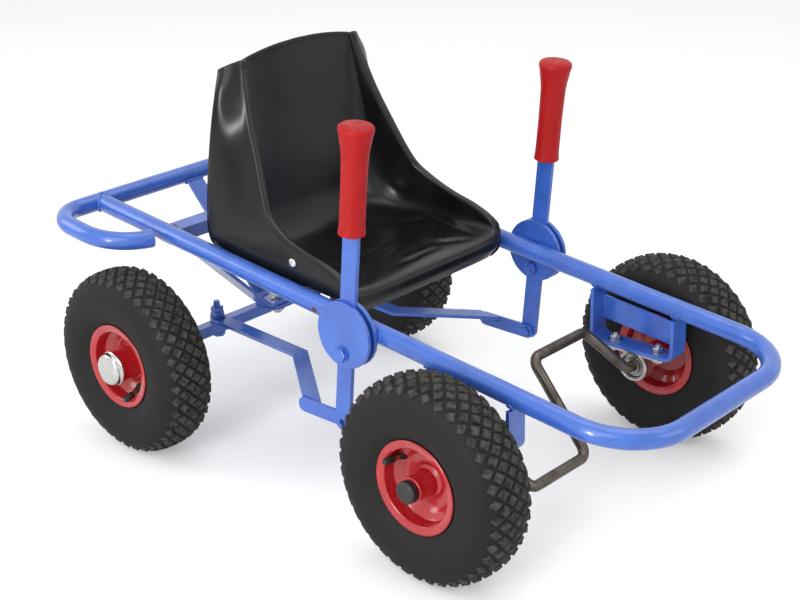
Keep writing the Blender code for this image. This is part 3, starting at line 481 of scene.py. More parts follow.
def fastenerTree():
    tree, start, end = newGroup("fasteners", "GeometryNodeTree",
                                [("Geometry", "NodeSocketGeometry", None),
                                 ("Material", "NodeSocketMaterial", None)],
                                [("Geometry", "NodeSocketGeometry")])
    own = start.outputs

    def stored(label, kind):
        return addNode(tree, "GeometryNodeInputNamedAttribute", {"Name": label}, data_type=kind).outputs[0]

    aim = addNode(tree, "FunctionNodeAlignRotationToVector", {"Vector": stored("axis", "FLOAT_VECTOR")},
                  axis="Z")
    size = addNode(tree, "ShaderNodeCombineXYZ", {0: stored("radius", "FLOAT"), 1: stored("radius", "FLOAT"),
                                                  2: stored("height", "FLOAT")})
    joined = addNode(tree, "GeometryNodeJoinGeometry")
    for sideCount, operation in ((6, "LESS_THAN"), (28, "GREATER_THAN")):
        prism = addNode(tree, "GeometryNodeMeshCylinder",
                        {"Vertices": sideCount, "Radius": 1.0, "Depth": 0.76})
        face = addNode(tree, "ShaderNodeSeparateXYZ", {0: addNode(tree, "GeometryNodeInputNormal").outputs[0]})
        flat = sum2(tree, "GREATER_THAN", sum2(tree, "ABSOLUTE", face.outputs[2], 0.0), 0.5)
        raised = addNode(tree, "GeometryNodeExtrudeMesh", {"Mesh": prism.outputs[0], "Selection": flat,
                                                           "Offset Scale": 0.12}, mode="FACES")
        narrow = addNode(tree, "GeometryNodeScaleElements", {"Geometry": raised.outputs[0],
                                                             "Selection": raised.outputs["Top"], "Scale": 0.88})
        chosen = sum2(tree, operation, stored("sides", "FLOAT"), 10.0)
        placed = addNode(tree, "GeometryNodeInstanceOnPoints", {
            "Points": own["Geometry"], "Selection": chosen, "Instance": narrow.outputs[0],
            "Rotation": aim.outputs[0], "Scale": size.outputs[0]})
        tree.links.new(placed.outputs[0], joined.inputs[0])
    endTree(tree, joined.outputs[0], own["Material"], end)
    return tree


treadRow, weldBead, fasteners = treadRowTree(), weldTree(), fastenerTree()
print("node trees made")

tubes = {"tilt": radians(6.1), "height": 256.5 * mm, "radius": 12.5 * mm, "wall": 2 * mm, "railY": 169 * mm,
         "frontU": 467 * mm, "frontBend": 85 * mm, "rearU": -467 * mm, "hookY": 254 * mm, "hookBend": 48 * mm,
         "curlU": -390 * mm, "curlBend": 72 * mm, "curlTurn": radians(75), "hookTip": 4 * mm, "gap": 0.3 * mm,
         "holes": [(-22 * mm, 3.1 * mm, -12), (102 * mm, 1.6 * mm, -20), (-84 * mm, 1.5 * mm, -34)]}
plane = Matrix.Translation((0, 0, tubes["height"])) @ Matrix.Rotation(tubes["tilt"], 4, "Y")
acrossPlane = plane.to_3x3() @ Vector((0, 0, 1))


def onPlane(u, y, w=0.0):
    return plane @ Vector((u, y, w))


def railSpot(u, side, dip, depth):
    out = Vector((0, side * cos(radians(dip)), 0)) + acrossPlane * sin(radians(dip))
    return out, onPlane(u, side * tubes["railY"]) + out * (tubes["radius"] - depth)


def frameTubes():
    t = tubes
    rear, front, y = t["rearU"], t["frontU"], t["railY"]
    path = bentPath([onPlane(*corner) for corner in ((rear, -y), (front, -y), (front, y), (rear, y))],
                    [t["frontBend"]] * 2, radians(4))
    rail = makePiece("frameLoop", sweptTube(path, t["radius"], t["wall"]), "framePaint", "frame",
                     ["main_frame_tube"])
    cutters = [drum(onPlane(t["rearU"], 0), (0, 1, 0), t["radius"] + t["gap"], 0.44, 48)]
    for u, radius, dip in t["holes"]:
        for side in sides.values():
            out, spot = railSpot(u, side, dip, 0)
            cutters.append(drum(spot, out, radius, 12 * mm, 20))
    carve(rail, cutters)
    reach = t["curlBend"] * tan(t["curlTurn"] / 2)
    cornerU, tip = t["curlU"] + reach, reach + t["hookTip"]
    half = [(t["rearU"], t["hookY"]), (cornerU, t["hookY"]),
            (cornerU + tip * cos(t["curlTurn"]), t["hookY"] - tip * sin(t["curlTurn"]))]
    points = [(u, -y) for u, y in reversed(half)] + half
    path = bentPath([onPlane(*point) for point in points],
                    [t["curlBend"], t["hookBend"], t["hookBend"], t["curlBend"]], radians(5))
    makePiece("rearLoop", sweptTube(path, t["radius"], t["wall"]), "framePaint", "frame", ["rear_tube"])
    # a dark rust-coloured disc just inside the largest hole on each side is painted shade of the tube's hollow,
    # with a rust colour
    u, radius, dip = t["holes"][0]
    holeShadeDiscs = []
    for side in sides.values():
        out, spot = railSpot(u, side, dip, 1.1 * mm)
        holeShadeDiscs.append((spot, out, radius * 0.96, 1.6 * mm, 28))
    placeFasteners("railHoleShade", holeShadeDiscs, "holeShadeRust", "frame", [])


def placeFasteners(name, entries, finish, body, replaced):
    values = {"Material": materials[finish]}
    data = {"axis": ("FLOAT_VECTOR", [Vector(e[1]).normalized() for e in entries]),
            "radius": ("FLOAT", [e[2] for e in entries]), "height": ("FLOAT", [e[3] for e in entries]),
            "sides": ("FLOAT", [float(e[4]) for e in entries])}
    return runTree(name, fasteners, [[e[0] for e in entries]], values, finish, body, replaced, data, sharp=24)


frameTubes()
print("tubes bent")

# bars and plates keep the CAD's outline, with edges broken by this many millimetres
barEdges = {"seat_cross_tube": 1.6, "pivot_hanger": 1.0, "rear_stay": 1.0, "seat_support_bar": 0.8,
            "seat_tab": 0.5, "pivot_disc_inner": 0.9, "pivot_disc_outer": 0.9, "front_bracket": 0.9,
            "bracket_plate": 0.9, "rear_axle_beam": 1.2, "pivot_lug": 0.9, "link_bar": 0.9, "link_tang": 0.9,
            "lever_bar": 1.0}
singleBars = ("seat_cross_tube", "pivot_hanger", "rear_stay", "seat_support_bar", "rear_axle_beam", "pivot_lug")


def camel(node):
    first, *rest = node.split("_")
    return first + "".join(word.title() for word in rest)


for bar, edge in barEdges.items():
    for node in [bar] if bar in singleBars else [f"{bar}_{name}" for name in sides]:
        refine(node, camel(node), "framePaint", edge * mm)
print("bars and plates edged")

bolts = {"leverHead": 9.5 * mm, "linkHead": 9.8 * mm, "housingHead": 7.4 * mm}


def stack(base, axis, stages):
    # a stage is (from, to, radius, sides)
    return [(Vector(base) + Vector(axis) * (low + high) / 2, axis, radius, high - low, count)
            for low, high, radius, count in stages]


def sideways(node, side):
    low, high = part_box(node)
    inner, outer = sorted((side * low.y, side * high.y))
    return inner, outer, ((low.x + high.x) / 2, 0, (low.z + high.z) / 2)


def leverBolts():
    entries = []
    for name, side in sides.items():
        inner, outer, base = sideways(f"lever_bolt_{name}", side)
        entries += stack(base, (0, side, 0), [(inner, inner + 3.4 * mm, 4.6 * mm, 28),
                                      (inner + 3.0 * mm, inner + 9.9 * mm, bolts["leverHead"], 6),
                                      (inner + 9 * mm, outer - 5 * mm, 4.9 * mm, 28),
                                      (outer - 5.4 * mm, outer - 4.2 * mm, bolts["leverHead"] + 1.2 * mm, 28),
                                      (outer - 4.4 * mm, outer, bolts["leverHead"], 6)])
    placeFasteners("leverBolts", entries, "framePaint", "frame", ["lever_bolt_left", "lever_bolt_right"])


def kingpin():
    low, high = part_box("kingpin_bolt")
    base = ((low.x + high.x) / 2, 0, 0)
    shaft = [(low.z, high.z - 5 * mm, 5.9 * mm, 28), (low.z + 3.9 * mm, low.z + 11.9 * mm, 11 * mm, 6),
             (high.z - 7 * mm, high.z - 5.6 * mm, 12.4 * mm, 28), (high.z - 5.8 * mm, high.z, 10.8 * mm, 6)]
    placeFasteners("kingpin", stack(base, (0, 0, 1), shaft), "zincPlate", "frame", ["kingpin_bolt"])


def linkBolts():
    entries = []
    for name in sides:
        low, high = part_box(f"link_bolt_{name}")
        centre = middle(f"link_bolt_{name}")
        top = high.z
        entries += stack((centre.x, centre.y, 0), (0, 0, 1), [
            (low.z, low.z + 6 * mm, bolts["linkHead"], 6), (low.z + 5.8 * mm, top, 4.9 * mm, 28),
            (top - 24 * mm, top - 22.6 * mm, bolts["linkHead"] + 1.4 * mm, 28),
            (top - 22.8 * mm, top - 15.6 * mm, bolts["linkHead"], 6),
            (top - 15.6 * mm, top - 8.8 * mm, bolts["linkHead"] * 0.94, 6)])
    placeFasteners("linkBolts", entries, "framePaint", "rear_axle", ["link_bolt_left", "link_bolt_right"])
    for name, side in sides.items():
        inner, outer, base = sideways(f"tang_bolt_{name}", side)
        entries = stack(base, (0, side, 0), [
            (inner, inner + 5 * mm, 7.5 * mm, 6), (inner + 4.8 * mm, outer, 3.9 * mm, 28)])
        placeFasteners(f"tangBolt{name.title()}", entries, "framePaint", f"link_{name}", [f"tang_bolt_{name}"])


def housingBolts():
    entries, nodes = [], []
    for name in sides:
        for end in ("front", "rear"):
            node = f"housing_bolt_{name}_{end}"
            low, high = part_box(node)
            centre = middle(node)
            nodes.append(node)
            entries += stack((centre.x, centre.y, 0), (0, 0, 1), [
                (low.z, low.z + 5.5 * mm, bolts["housingHead"], 6), (low.z + 5.3 * mm, high.z, 3.9 * mm, 28),
                (high.z - 10.9 * mm, high.z - 9.9 * mm, bolts["housingHead"] + 1.2 * mm, 28),
                (high.z - 10.1 * mm, high.z - 3.5 * mm, bolts["housingHead"], 6)])
    placeFasteners("housingBolts", entries, "zincPlate", "frame", nodes)


leverBolts()
kingpin()
linkBolts()
housingBolts()
print("bolts placed")

welds = {"bead": 2.3 * mm, "small": 1.6 * mm, "step": 1.1 * mm, "crossTubeU": -323 * mm,
         "crossHalf": 12.5 * mm}


def saddle(u, y, count=40):
    # where one tube's end meets the side of an equal tube
    r = tubes["radius"]
    angles = [2 * pi * i / count for i in range(count + 1)]
    return [onPlane(u + r * abs(cos(a)) + 0.6 * mm, y + r * cos(a), r * sin(a)) for a in angles]


def straight(first, last, count=6):
    first, last = Vector(first), Vector(last)
    return [first.lerp(last, i / count) for i in range(count + 1)]


def layBead(name, lines, body, radius, spacing, seed):
    values = {"Material": materials["framePaint"], "Radius": radius, "Seed": seed, "Spacing": spacing}
    runTree(name, weldBead, lines, values, "framePaint", body, sharp=80)


def frameWelds():
    t = tubes
    r = t["radius"]
    lines, small = [], []
    crossLow, crossHigh = (welds["crossTubeU"] + end * welds["crossHalf"] for end in (-1, 1))
    for name, side in sides.items():
        y = side * t["railY"]
        lines.append(saddle(t["rearU"], y))
        for edge in (crossLow, crossHigh):
            lines.append([onPlane(edge, y - side * sqrt(r * r - w * w), w) for w in
                          [(-11 + 1.5 * i) * mm for i in range(11)]])
        for w in (4 * mm, -11.5 * mm):
            reach = sqrt(max(r * r - w * w, 0))
            lines.append(straight(onPlane(crossLow, y - side * reach, w),
                                  onPlane(crossHigh, y - side * reach, w)))
        # rail to the inner disc, above and below the line of contact
        for w in (6.5 * mm, -6.5 * mm):
            reach = r - (r - sqrt(r * r - w * w)) * 0.4
            for first, last in ((8 * mm, 34 * mm), (56 * mm, 84 * mm)):
                lines.append(straight(onPlane(first, y + side * reach, w), onPlane(last, y + side * reach, w)))
        # bracket legs and plate
        low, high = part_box(f"front_bracket_{name}")
        for x in (low.x + 0.5 * mm, low.x + 5 * mm, high.x - 5 * mm, high.x - 0.5 * mm):
            u = x / cos(t["tilt"])
            arc = [i * radians(10) for i in range(-6, 7)]
            lines.append([onPlane(u, y + r * sin(a), -r * cos(a)) for a in arc])
        plateLow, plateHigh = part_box(f"bracket_plate_{name}")
        for x, rise in ((plateLow.x, 0.0), (plateHigh.x, -1.0)):
            drop = (plateHigh.x - plateLow.x) * tan(t["tilt"])
            middleY = (plateLow.y + plateHigh.y) / 2 - side * 2 * mm
            top = Vector((x, middleY, plateHigh.z + rise * drop - 2 * mm))
            small.append(straight(top, top - Vector((0, 0, 29 * mm))))
        # seat tabs and the bar under the pan
        low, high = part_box(f"seat_tab_{name}")
        rim = side * (t["railY"] - r - 0.2 * mm)
        small.append(straight((low.x, rim, low.z + 10.2 * mm), (high.x, rim, low.z + 10.2 * mm)))
        low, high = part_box("seat_support_bar")
        for x in (low.x, high.x):
            w = (high.z - onPlane(x, 0).z)
            reach = sqrt(max(r * r - w * w, 1e-8))
            small.append(straight((x, side * (t["railY"] - reach - 2 * mm), high.z),
                                  (x, side * (t["railY"] - reach + 0.5 * mm), low.z), 3))
        # hanger arms
        low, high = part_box("pivot_hanger")
        for x in (low.x, high.x):
            foot = onPlane(x / cos(t["tilt"]), y)
            spot = foot + Vector((0, -side * r * 0.80, -r * 0.62))
            lines.append(straight(spot, spot + Vector((0, side * 3 * mm, -3 * mm)), 2))
        top = onPlane(middle("pivot_hanger").x / cos(t["tilt"]), y)
        for shift in (-0.2, 0.25):
            angle = radians(42) + shift
            touch = top + Vector((0, -side * cos(angle), -sin(angle))) * r
            lines.append(straight((low.x, touch.y, touch.z), (high.x, touch.y, touch.z)))
    halfStay = Vector((0, 13 * mm, 0))
    for angle in (radians(-38), radians(-72)):
        spot = onPlane(t["rearU"], 0) + Vector((cos(angle), 0, sin(angle))) * (r + 0.4 * mm)
        lines.append(straight(spot - halfStay, spot + halfStay))
    spot = Vector((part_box("pivot_hanger")[0].x - 0.2 * mm, 0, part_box("kingpin_bolt")[1].z - 7.4 * mm))
    small.append(straight(spot - halfStay, spot + halfStay))
    layBead("frameWelds", lines, "frame", welds["bead"], welds["bead"] * 0.6, 3)
    layBead("frameTacks", small, "frame", welds["small"], welds["small"] * 0.6, 3)


def axleWelds():
    low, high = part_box("pivot_lug")
    beam = middle("rear_axle_beam")
    front = beam.x + 8 * mm
    lines = [straight((front, low.y + 4 * mm, low.z), (front, high.y - 4 * mm, low.z)),
             straight((low.x, low.y + 8 * mm, low.z + 3 * mm), (low.x, high.y - 8 * mm, low.z + 3 * mm))]
    for side in sides.values():
        centre = Vector((beam.x, side * 205 * mm, beam.z))
        lines.append([centre + Vector((7.6 * mm * cos(a), 0, 7.6 * mm * sin(a)))
                      for a in [2 * pi * i / 20 for i in range(21)]])
    layBead("axleWelds", lines, "rear_axle", welds["small"], welds["step"], 5)
    for name, side in sides.items():
        low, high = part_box(f"link_tang_{name}")
        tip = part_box(f"link_bar_{name}")[1].x
        face = (low.y if side > 0 else high.y) - side * 0.3 * mm
        level = middle(f"link_tang_{name}").z
        line = straight((tip - 30 * mm, face, level + 4.1 * mm), (tip - 2 * mm, face, level + 2.7 * mm))
        layBead(f"linkWeld{name.title()}", [line], f"link_{name}", welds["small"], welds["step"], 7)


frameWelds()
axleWelds()
print("welds laid")

tyre = {"radius": 130 * mm, "bead": 51.3 * mm, "halfWidth": 41 * mm, "wall": 7 * mm, "undertread": 2.4 * mm,
        "around": 96, "steps": 30, "start": radians(-46), "power": 2.5}
tread = {"rows": 7, "blocks": 40, "pitch": 10.0 * mm, "size": (11.4 * mm, 11.4 * mm, 5.0 * mm),
         "yaw": radians(45)}
rim = {"lip": 60 * mm, "halfWidth": 31 * mm, "sheet": 2.5 * mm, "seat": 51 * mm, "hubHalf": 38 * mm,
       "web": 4 * mm, "hub": {"front": 16 * mm, "rear": 22 * mm}, "bore": {"front": 7.3 * mm, "rear": 17.5 * mm},
       "around": 96}


def crown(offset, shrink=0.0):
    # radius of the casing at a distance from the wheel's middle plane
    middleR, reach = (tyre["radius"] + rim["seat"]) / 2, (tyre["radius"] - rim["seat"]) / 2 - shrink
    share = min(abs(offset) / (tyre["halfWidth"] - shrink), 1)
    return middleR + reach * (1 - share ** tyre["power"]) ** (1 / tyre["power"])


def casingProfile():
    middleR, reach = (tyre["radius"] + rim["seat"]) / 2, (tyre["radius"] - rim["seat"]) / 2
    half, power = tyre["halfWidth"], tyre["power"]
    outer, inner = [], []
    for i in range(tyre["steps"] + 1):
        angle = tyre["start"] + (pi - 2 * tyre["start"]) * i / tyre["steps"]
        c, s = cos(angle), sin(angle)
        shape = (abs(c) ** power + abs(s) ** power) ** (-1 / power)
        # the tread blocks stand on a ledge
        drop = tyre["undertread"] * max(0, min(1, (s - 0.45) / 0.2))
        rib = 0.5 * mm * exp(-((abs(c) - 0.985) / 0.012) ** 2) if s > 0 else 0
        outer.append((middleR + (reach - drop) * s * shape, (half - 0.4 * mm + rib) * c * shape))
        inner.append((middleR + (reach - tyre["wall"]) * s * shape, (half - tyre["wall"]) * c * shape))
    beadOut, beadIn = 26.7 * mm, 16.2 * mm
    left, right = (tyre["bead"], beadOut), (tyre["bead"], -beadOut)
    return ([(tyre["bead"], beadIn), left, (tyre["bead"] + 4 * mm, beadOut + 3.4 * mm)] + outer
            + [(tyre["bead"] + 4 * mm, -beadOut - 3.4 * mm), right, (tyre["bead"], -beadIn)] + inner[::-1])


def treadTree():
    tree, start, end = newGroup("tread", "GeometryNodeTree",
                                [("Centre", "NodeSocketVector", (0, 0, 0)),
                                 ("Blocks", "NodeSocketInt", tread["blocks"]),
                                 ("Block Size", "NodeSocketVector", tread["size"]),
                                 ("Material", "NodeSocketMaterial", None)],
                                [("Geometry", "NodeSocketGeometry")])
    joined = addNode(tree, "GeometryNodeJoinGeometry")
    step = 0.5 * mm
    for row in range(tread["rows"]):
        offset = (row - (tread["rows"] - 1) / 2) * tread["pitch"]
        slope = (crown(abs(offset) + step) - crown(abs(offset))) / step
        lean = -slope if offset > 0 else slope
        sink = tread["size"][2] / 2
        group = addNode(tree, "GeometryNodeGroup", {}, node_tree=treadRow)
        group.inputs["Radius"].default_value = crown(offset) - sink * 0.98 / sqrt(1 + slope * slope)
        group.inputs["Offset"].default_value = offset - sink * lean / sqrt(1 + slope * slope)
        group.inputs["Tilt"].default_value = lean
        group.inputs["Phase"].default_value = (row % 2) * pi / tread["blocks"]
        group.inputs["Yaw"].default_value = tread["yaw"]
        tree.links.new(start.outputs["Blocks"], group.inputs["Blocks"])
        tree.links.new(start.outputs["Block Size"], group.inputs["Block Size"])
        tree.links.new(group.outputs[0], joined.inputs[0])
    moved = addNode(tree, "GeometryNodeTransform", {"Geometry": joined.outputs[0],
                                                    "Translation": start.outputs["Centre"]})
    endTree(tree, moved.outputs[0], start.outputs["Material"], end)
    return tree


def rimProfile(bore, hubRadius, side):
    half, sheet, seat, lip, web = rim["halfWidth"], rim["sheet"], rim["seat"], rim["lip"], rim["web"]
    hub, well = rim["hubHalf"], rim["seat"] - 9 * mm
    points = [
        (bore, -hub), (hubRadius, -hub), (hubRadius, web - 2 * sheet), (well - 8 * mm, web - 2 * sheet),
        (well - sheet, -8 * mm), (seat - sheet, -14 * mm), (seat - sheet, -half),
        (lip - 2 * mm, -half - sheet), (lip, -half - sheet * 0.4), (lip - 2 * mm, -half + 0.4 * mm),
        (seat, -half + sheet + mm), (seat, -14 * mm), (well, -7 * mm), (well, 7 * mm), (seat, 14 * mm),
        (seat, half - sheet - mm), (lip - 2 * mm, half - 0.4 * mm), (lip, half + sheet * 0.4),
        (lip - 2 * mm, half + sheet), (seat - sheet, half), (seat - sheet, 14 * mm), (well - sheet, 9 * mm),
        (well - 8 * mm, web), (hubRadius + 7 * mm, web), (hubRadius + 4 * mm, web + 4 * mm),
        (hubRadius, web + 5 * mm), (hubRadius, hub), (bore, hub)]
    return [(radius, side * along) for radius, along in roundProfile(points, 1.8 * mm, 3)]


valve = {"grommet": 6 * mm, "stem": 3.4 * mm, "cap": 4.6 * mm, "length": 17 * mm, "capLength": 15 * mm,
         "angles": {"front_right": 150, "rear_right": -69, "front_left": 40, "rear_left": 205},
         "radius": {"front": 43 * mm, "rear": 38 * mm}}


def makeValve(name, title, centre, side, body):
    angle = radians(valve["angles"][name])
    spoke = Vector((cos(angle), 0, sin(angle)))
    out = Vector((0, side, 0))
    lean = (out + spoke * (0.10 if "front" in name else 0.30)).normalized()
    base = centre + spoke * valve["radius"][name.split("_")[0]] + out * 6 * mm
    parts = (("valveFoot", "capPlastic", base, [(0, 0), (valve["grommet"], 0), (valve["grommet"], 3 * mm),
                                                 (4.4 * mm, 6 * mm), (3.8 * mm, 10 * mm), (0, 10 * mm)]),
             ("valveStem", "valveBrass", base + lean * 9 * mm, [(0, 0), (valve["stem"], 0),
                                                                (valve["stem"], valve["length"] * 0.75),
                                                                (0, valve["length"] * 0.75)]),
             ("valveCap", "capPlastic", base + lean * (8 * mm + valve["length"] * 0.6),
              [(0, 0), (valve["cap"], 0), (valve["cap"], valve["capLength"] * 0.82),
               (valve["cap"] * 0.7, valve["capLength"]), (0, valve["capLength"])]))
    for label, finish, foot, profile in parts:
        inside = [(max(r, 0.05 * mm), a) for r, a in profile]
        makePiece(label + title, turned(inside, foot, 24, lean), finish, body, sharp=30)


def wheelPieces():
    tree = treadTree()
    for end in ("front", "rear"):
        for name, side in sides.items():
            key = f"{end}_{name}"
            title = end.title() + name.title()
            body = bodyOf(f"tyre_{key}")
            centre = middle(f"tyre_{key}")
            casing = skin(lathe(casingProfile(), centre, tyre["around"]), closed=True)
            makePiece("casing" + title, casing, "tyreRubber", body, [f"tyre_{key}"], sharp=60)
            runTree("tread" + title, tree, [[centre]], {
                "Centre": tuple(centre), "Blocks": tread["blocks"], "Block Size": tread["size"],
                "Material": materials["treadRubber"]}, "treadRubber", body)
            profile = rimProfile(rim["bore"][end], rim["hub"][end], side)
            shape = skin(lathe(profile, centre, rim["around"]), closed=True)
            makePiece("rim" + title, shape, "rimPaint", body, [f"rim_{key}"], sharp=50)
            makeValve(key, title, centre, side, body)
            hubCap(key, end, side, body)


caps = {"frontRadius": 14 * mm, "rearRadius": 24 * mm}


def hubCap(key, end, side, body):
    if end == "front":
        node, finish = f"axle_cap_{key}", "capPlastic"
        r = caps["frontRadius"]
        profile = [(0.05 * mm, 0), (r - mm, 0), (r, 1.5 * mm), (r, 8 * mm), (r - 0.6 * mm, 9.6 * mm),
                   (r - 2.4 * mm, 10.6 * mm), (r - 5 * mm, 11 * mm), (r - 5.6 * mm, 10.6 * mm),
                   (3 * mm, 10.6 * mm), (0.05 * mm, 10.8 * mm)]
    else:
        node, finish = f"hub_cap_{key}", "chromePlate"
        r = caps["rearRadius"]
        profile = [(0.05 * mm, 0), (r - mm, 0), (r, 0.6 * mm), (r, 2.4 * mm), (r - 1.6 * mm, 3.6 * mm),
                   (r - 1.9 * mm, 8.4 * mm), (r - 2.8 * mm, 10.4 * mm), (r - 4.6 * mm, 11.6 * mm),
                   (r - 8 * mm, 12.2 * mm), (0.05 * mm, 12.5 * mm)]
    low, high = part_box(node)
    face = low.y if side > 0 else high.y
    centre = middle(node)
    shape = turned(profile, Vector((centre.x, face, centre.z)), 64, (0, side, 0))
    makePiece(camel(node), shape, finish, body, [node], sharp=50)


wheelPieces()
for name in sides:
    refine(f"wheel_bearing_rear_{name}", f"wheelBearing{name.title()}", "bearingSteel", 0.8 * mm)
print("wheels built")

crank = {"radius": 7 * mm, "throw": 70 * mm, "angle": radians(-51), "pedalY": 110 * mm, "armY": 148 * mm,
         "bend": 14 * mm, "endY": 279 * mm}
housing = {"width": 15.5 * mm, "lip": (17.6 * mm, 18.4 * mm, 21.0 * mm, 21.8 * mm), "lipDepth": 2.2 * mm}


def crankRod():
    axle = (middle("bearing_insert_left") + middle("bearing_insert_right")) / 2
    pin = Vector((crank["throw"] * cos(crank["angle"]), 0, crank["throw"] * sin(crank["angle"])))
    out = Vector((0, 1, 0))
    end, arm, pedal = (out * crank[key] for key in ("endY", "armY", "pedalY"))
    points = [axle - end, axle - arm, axle + pin - pedal, axle + pin,
              axle - pin, axle - pin + pedal, axle + arm, axle + end]
    path = bentPath(points, [crank["bend"]] * len(points), radians(7))
    rings = [ring(p, a, u, crank["radius"], 28) for p, a, u in carried(path)]
    makePiece("crankRod", skin(rings), "rawSteel", "crank", ["crank_rod"])


def bearings():
    for name, side in sides.items():
        refine(f"bearing_housing_{name}", f"bearingHousing{name.title()}", "zincPlate", 0.7 * mm)
        centre = middle(f"bearing_insert_{name}")
        half = 10 * mm
        profile = [(7.3 * mm, -half), (11.3 * mm, -half), (11.3 * mm, -half * 0.62), (13.2 * mm, -half * 0.62),
                   (13.2 * mm, -half * 0.52), (16 * mm, -half * 0.55), (17 * mm, 0), (16 * mm, half * 0.55),
                   (13.2 * mm, half * 0.52), (13.2 * mm, half * 0.62), (11.3 * mm, half * 0.62), (11.3 * mm, half),
                   (7.3 * mm, half)]
        shape = skin(lathe(roundProfile(profile, 0.5 * mm, 2), centre, 48), closed=True)
        makePiece(f"bearingInsert{name.title()}", shape, "bearingSteel", "crank", [f"bearing_insert_{name}"])
        # the pressed lips of the two halves
        for face in (-1, 1):
            edge = centre + Vector((0, face * housing["width"] / 2, 0))
            deep = face * housing["lipDepth"]
            inner, innerTop, outerTop, outer = housing["lip"]
            lip = roundProfile([(inner, 0), (outer, 0), (outerTop, deep), (innerTop, deep)], 0.8 * mm, 3)
            makePiece(f"housingLip{name.title()}{'Inner' if face == -side else 'Outer'}",
                      skin(lathe(lip, edge, 48), closed=True), "zincPlate", "frame")


crankRod()
bearings()
print("crank and bearings built")

grip = {"start": 160 * mm, "end": 299 * mm, "radius": 16 * mm, "cap": 22 * mm}


def gripPieces():
    low, end, r, cap = grip["start"], grip["end"], grip["radius"], grip["cap"]
    for name in sides:
        pivot = next(joint["pos_m"] for joint in frame["joints"] if joint["child"] == f"lever_{name}")
        base = Vector((pivot[0], middle(f"lever_bar_{name}").y, pivot[2]))
        profile = [(13.4 * mm, low + 6 * mm), (13.6 * mm, low), (r - 0.6 * mm, low),
                   (r + 0.8 * mm, low + 0.8 * mm), (r + 1.0 * mm, low + 3 * mm), (r + 0.5 * mm, low + 6 * mm),
                   (r, low + 14 * mm), (r - 0.1 * mm, low + 60 * mm), (r + 0.3 * mm, end - 52 * mm),
                   (r + 0.8 * mm, end - 38 * mm), (r + 2.0 * mm, end - 28 * mm), (r + 3.8 * mm, end - 18 * mm),
                   (cap - 1.5 * mm, end - 12.4 * mm), (cap - 0.6 * mm, end - 10 * mm),
                   (cap - 0.1 * mm, end - 7.6 * mm), (cap, end - 5.5 * mm), (cap - 0.5 * mm, end - 3.2 * mm),
                   (cap - 2.2 * mm, end - 1.4 * mm), (cap - 5 * mm, end - 0.5 * mm),
                   (cap - 11 * mm, end - 0.1 * mm), (0.05 * mm, end)]
        makePiece(f"grip{name.title()}", turned(profile, base, 48, acrossPlane), "gripRubber", f"lever_{name}",
                  [f"grip_{name}"], sharp=55)


gripPieces()
print("grips moulded")

seat = {"wall": 4 * mm, "crest": 9 * mm, "halfWidth": 153.5 * mm, "square": 5.0, "steps": 8, "across": 56,
        "pan": 270 * mm, "fluteDepth": 2.8 * mm, "fluteWidth": 5.5 * mm,
        "flutes": [((-113, -5), (-81, 45), (-30, 70), (2, 108)), ((-179, 57), (-128, 97), (-95, 132)),
                   ((-52, -69), (-24, -18), (-10, 27), (6, 38)), ((-150, 140), (-89, 134), (-4, 112))],
        "stations": (
            (12, -24, 2, -24, 15, 2, -30, 14), (17, -12, 8, -8, 3, 6, -20, 2), (17, -2, 6, 11, 1, 2, -8, 0),
            (8, 2, -6, 22, 1, -8, -4, 0), (-25, 2, -35, 33, 0, -35, -2, 0), (-70, 0, -71, 42, 0, -70, 0, 0),
            (-110, 0, -98, 51, 0, -110, 2, 0), (-150, 1.2, -120, 62, 2, -160, 5, 0),
            (-183, 11, -139, 76, 6, -205, 9, 1), (-204, 34, -153, 100, 13, -238, 16, 1),
            (-213, 75, -172, 142, 23, -250, 40, 2), (-217, 130, -190, 182, 31, -246, 105, 4),
            (-219, 185, -203, 222, 39, -237, 175, 8), (-220, 230, -210, 245, 43, -232, 222, 15),
            (-219, 269, -214, 270, 46, -235.5, 249, 26), (-221, 271, -216, 272, 46.5, -236, 251, 26.5),
            (-224, 270.5, -219, 271, 47, -237, 250, 27)),
        "arch": 10 * mm, "archFrom": 215 * mm}


def throughPoints(points, steps):
    padded = [points[0]] + list(points) + [points[-1]]
    curve = []
    for i in range(len(points) - 1):
        a, b, c, d = padded[i:i + 4]
        for step in range(steps):
            t = step / steps
            curve.append([0.5 * (2 * q + (r - p) * t + (2 * p - 5 * q + 4 * r - s) * t ** 2
                                 + (3 * q - p - 3 * r + s) * t ** 3) for p, q, r, s in zip(a, b, c, d)])
    return curve + [list(points[-1])]


def fluteDrop(x, y):
    # soft creases that fan out across the pan towards its front edge
    deepest = 0.0
    for flute in seat["flutes"]:
        places = [Vector(place) * mm for place in flute]
        whole = sum((b - a).length for a, b in zip(places, places[1:]))
        run = 0.0
        for first, last in zip(places, places[1:]):
            along = last - first
            for spot in (Vector((x, y)), Vector((x, -y))):
                t = max(0.0, min(1.0, (spot - first).dot(along) / along.length_squared))
                away = (spot - (first + along * t)).length
                here = run + t * along.length
                ends = min(1.0, here / (0.2 * whole), (whole - here) / (0.25 * whole))
                deepest = max(deepest, max(0.0, ends) * exp(-(away / seat["fluteWidth"]) ** 2))
            run += along.length
    return deepest * seat["fluteDepth"]


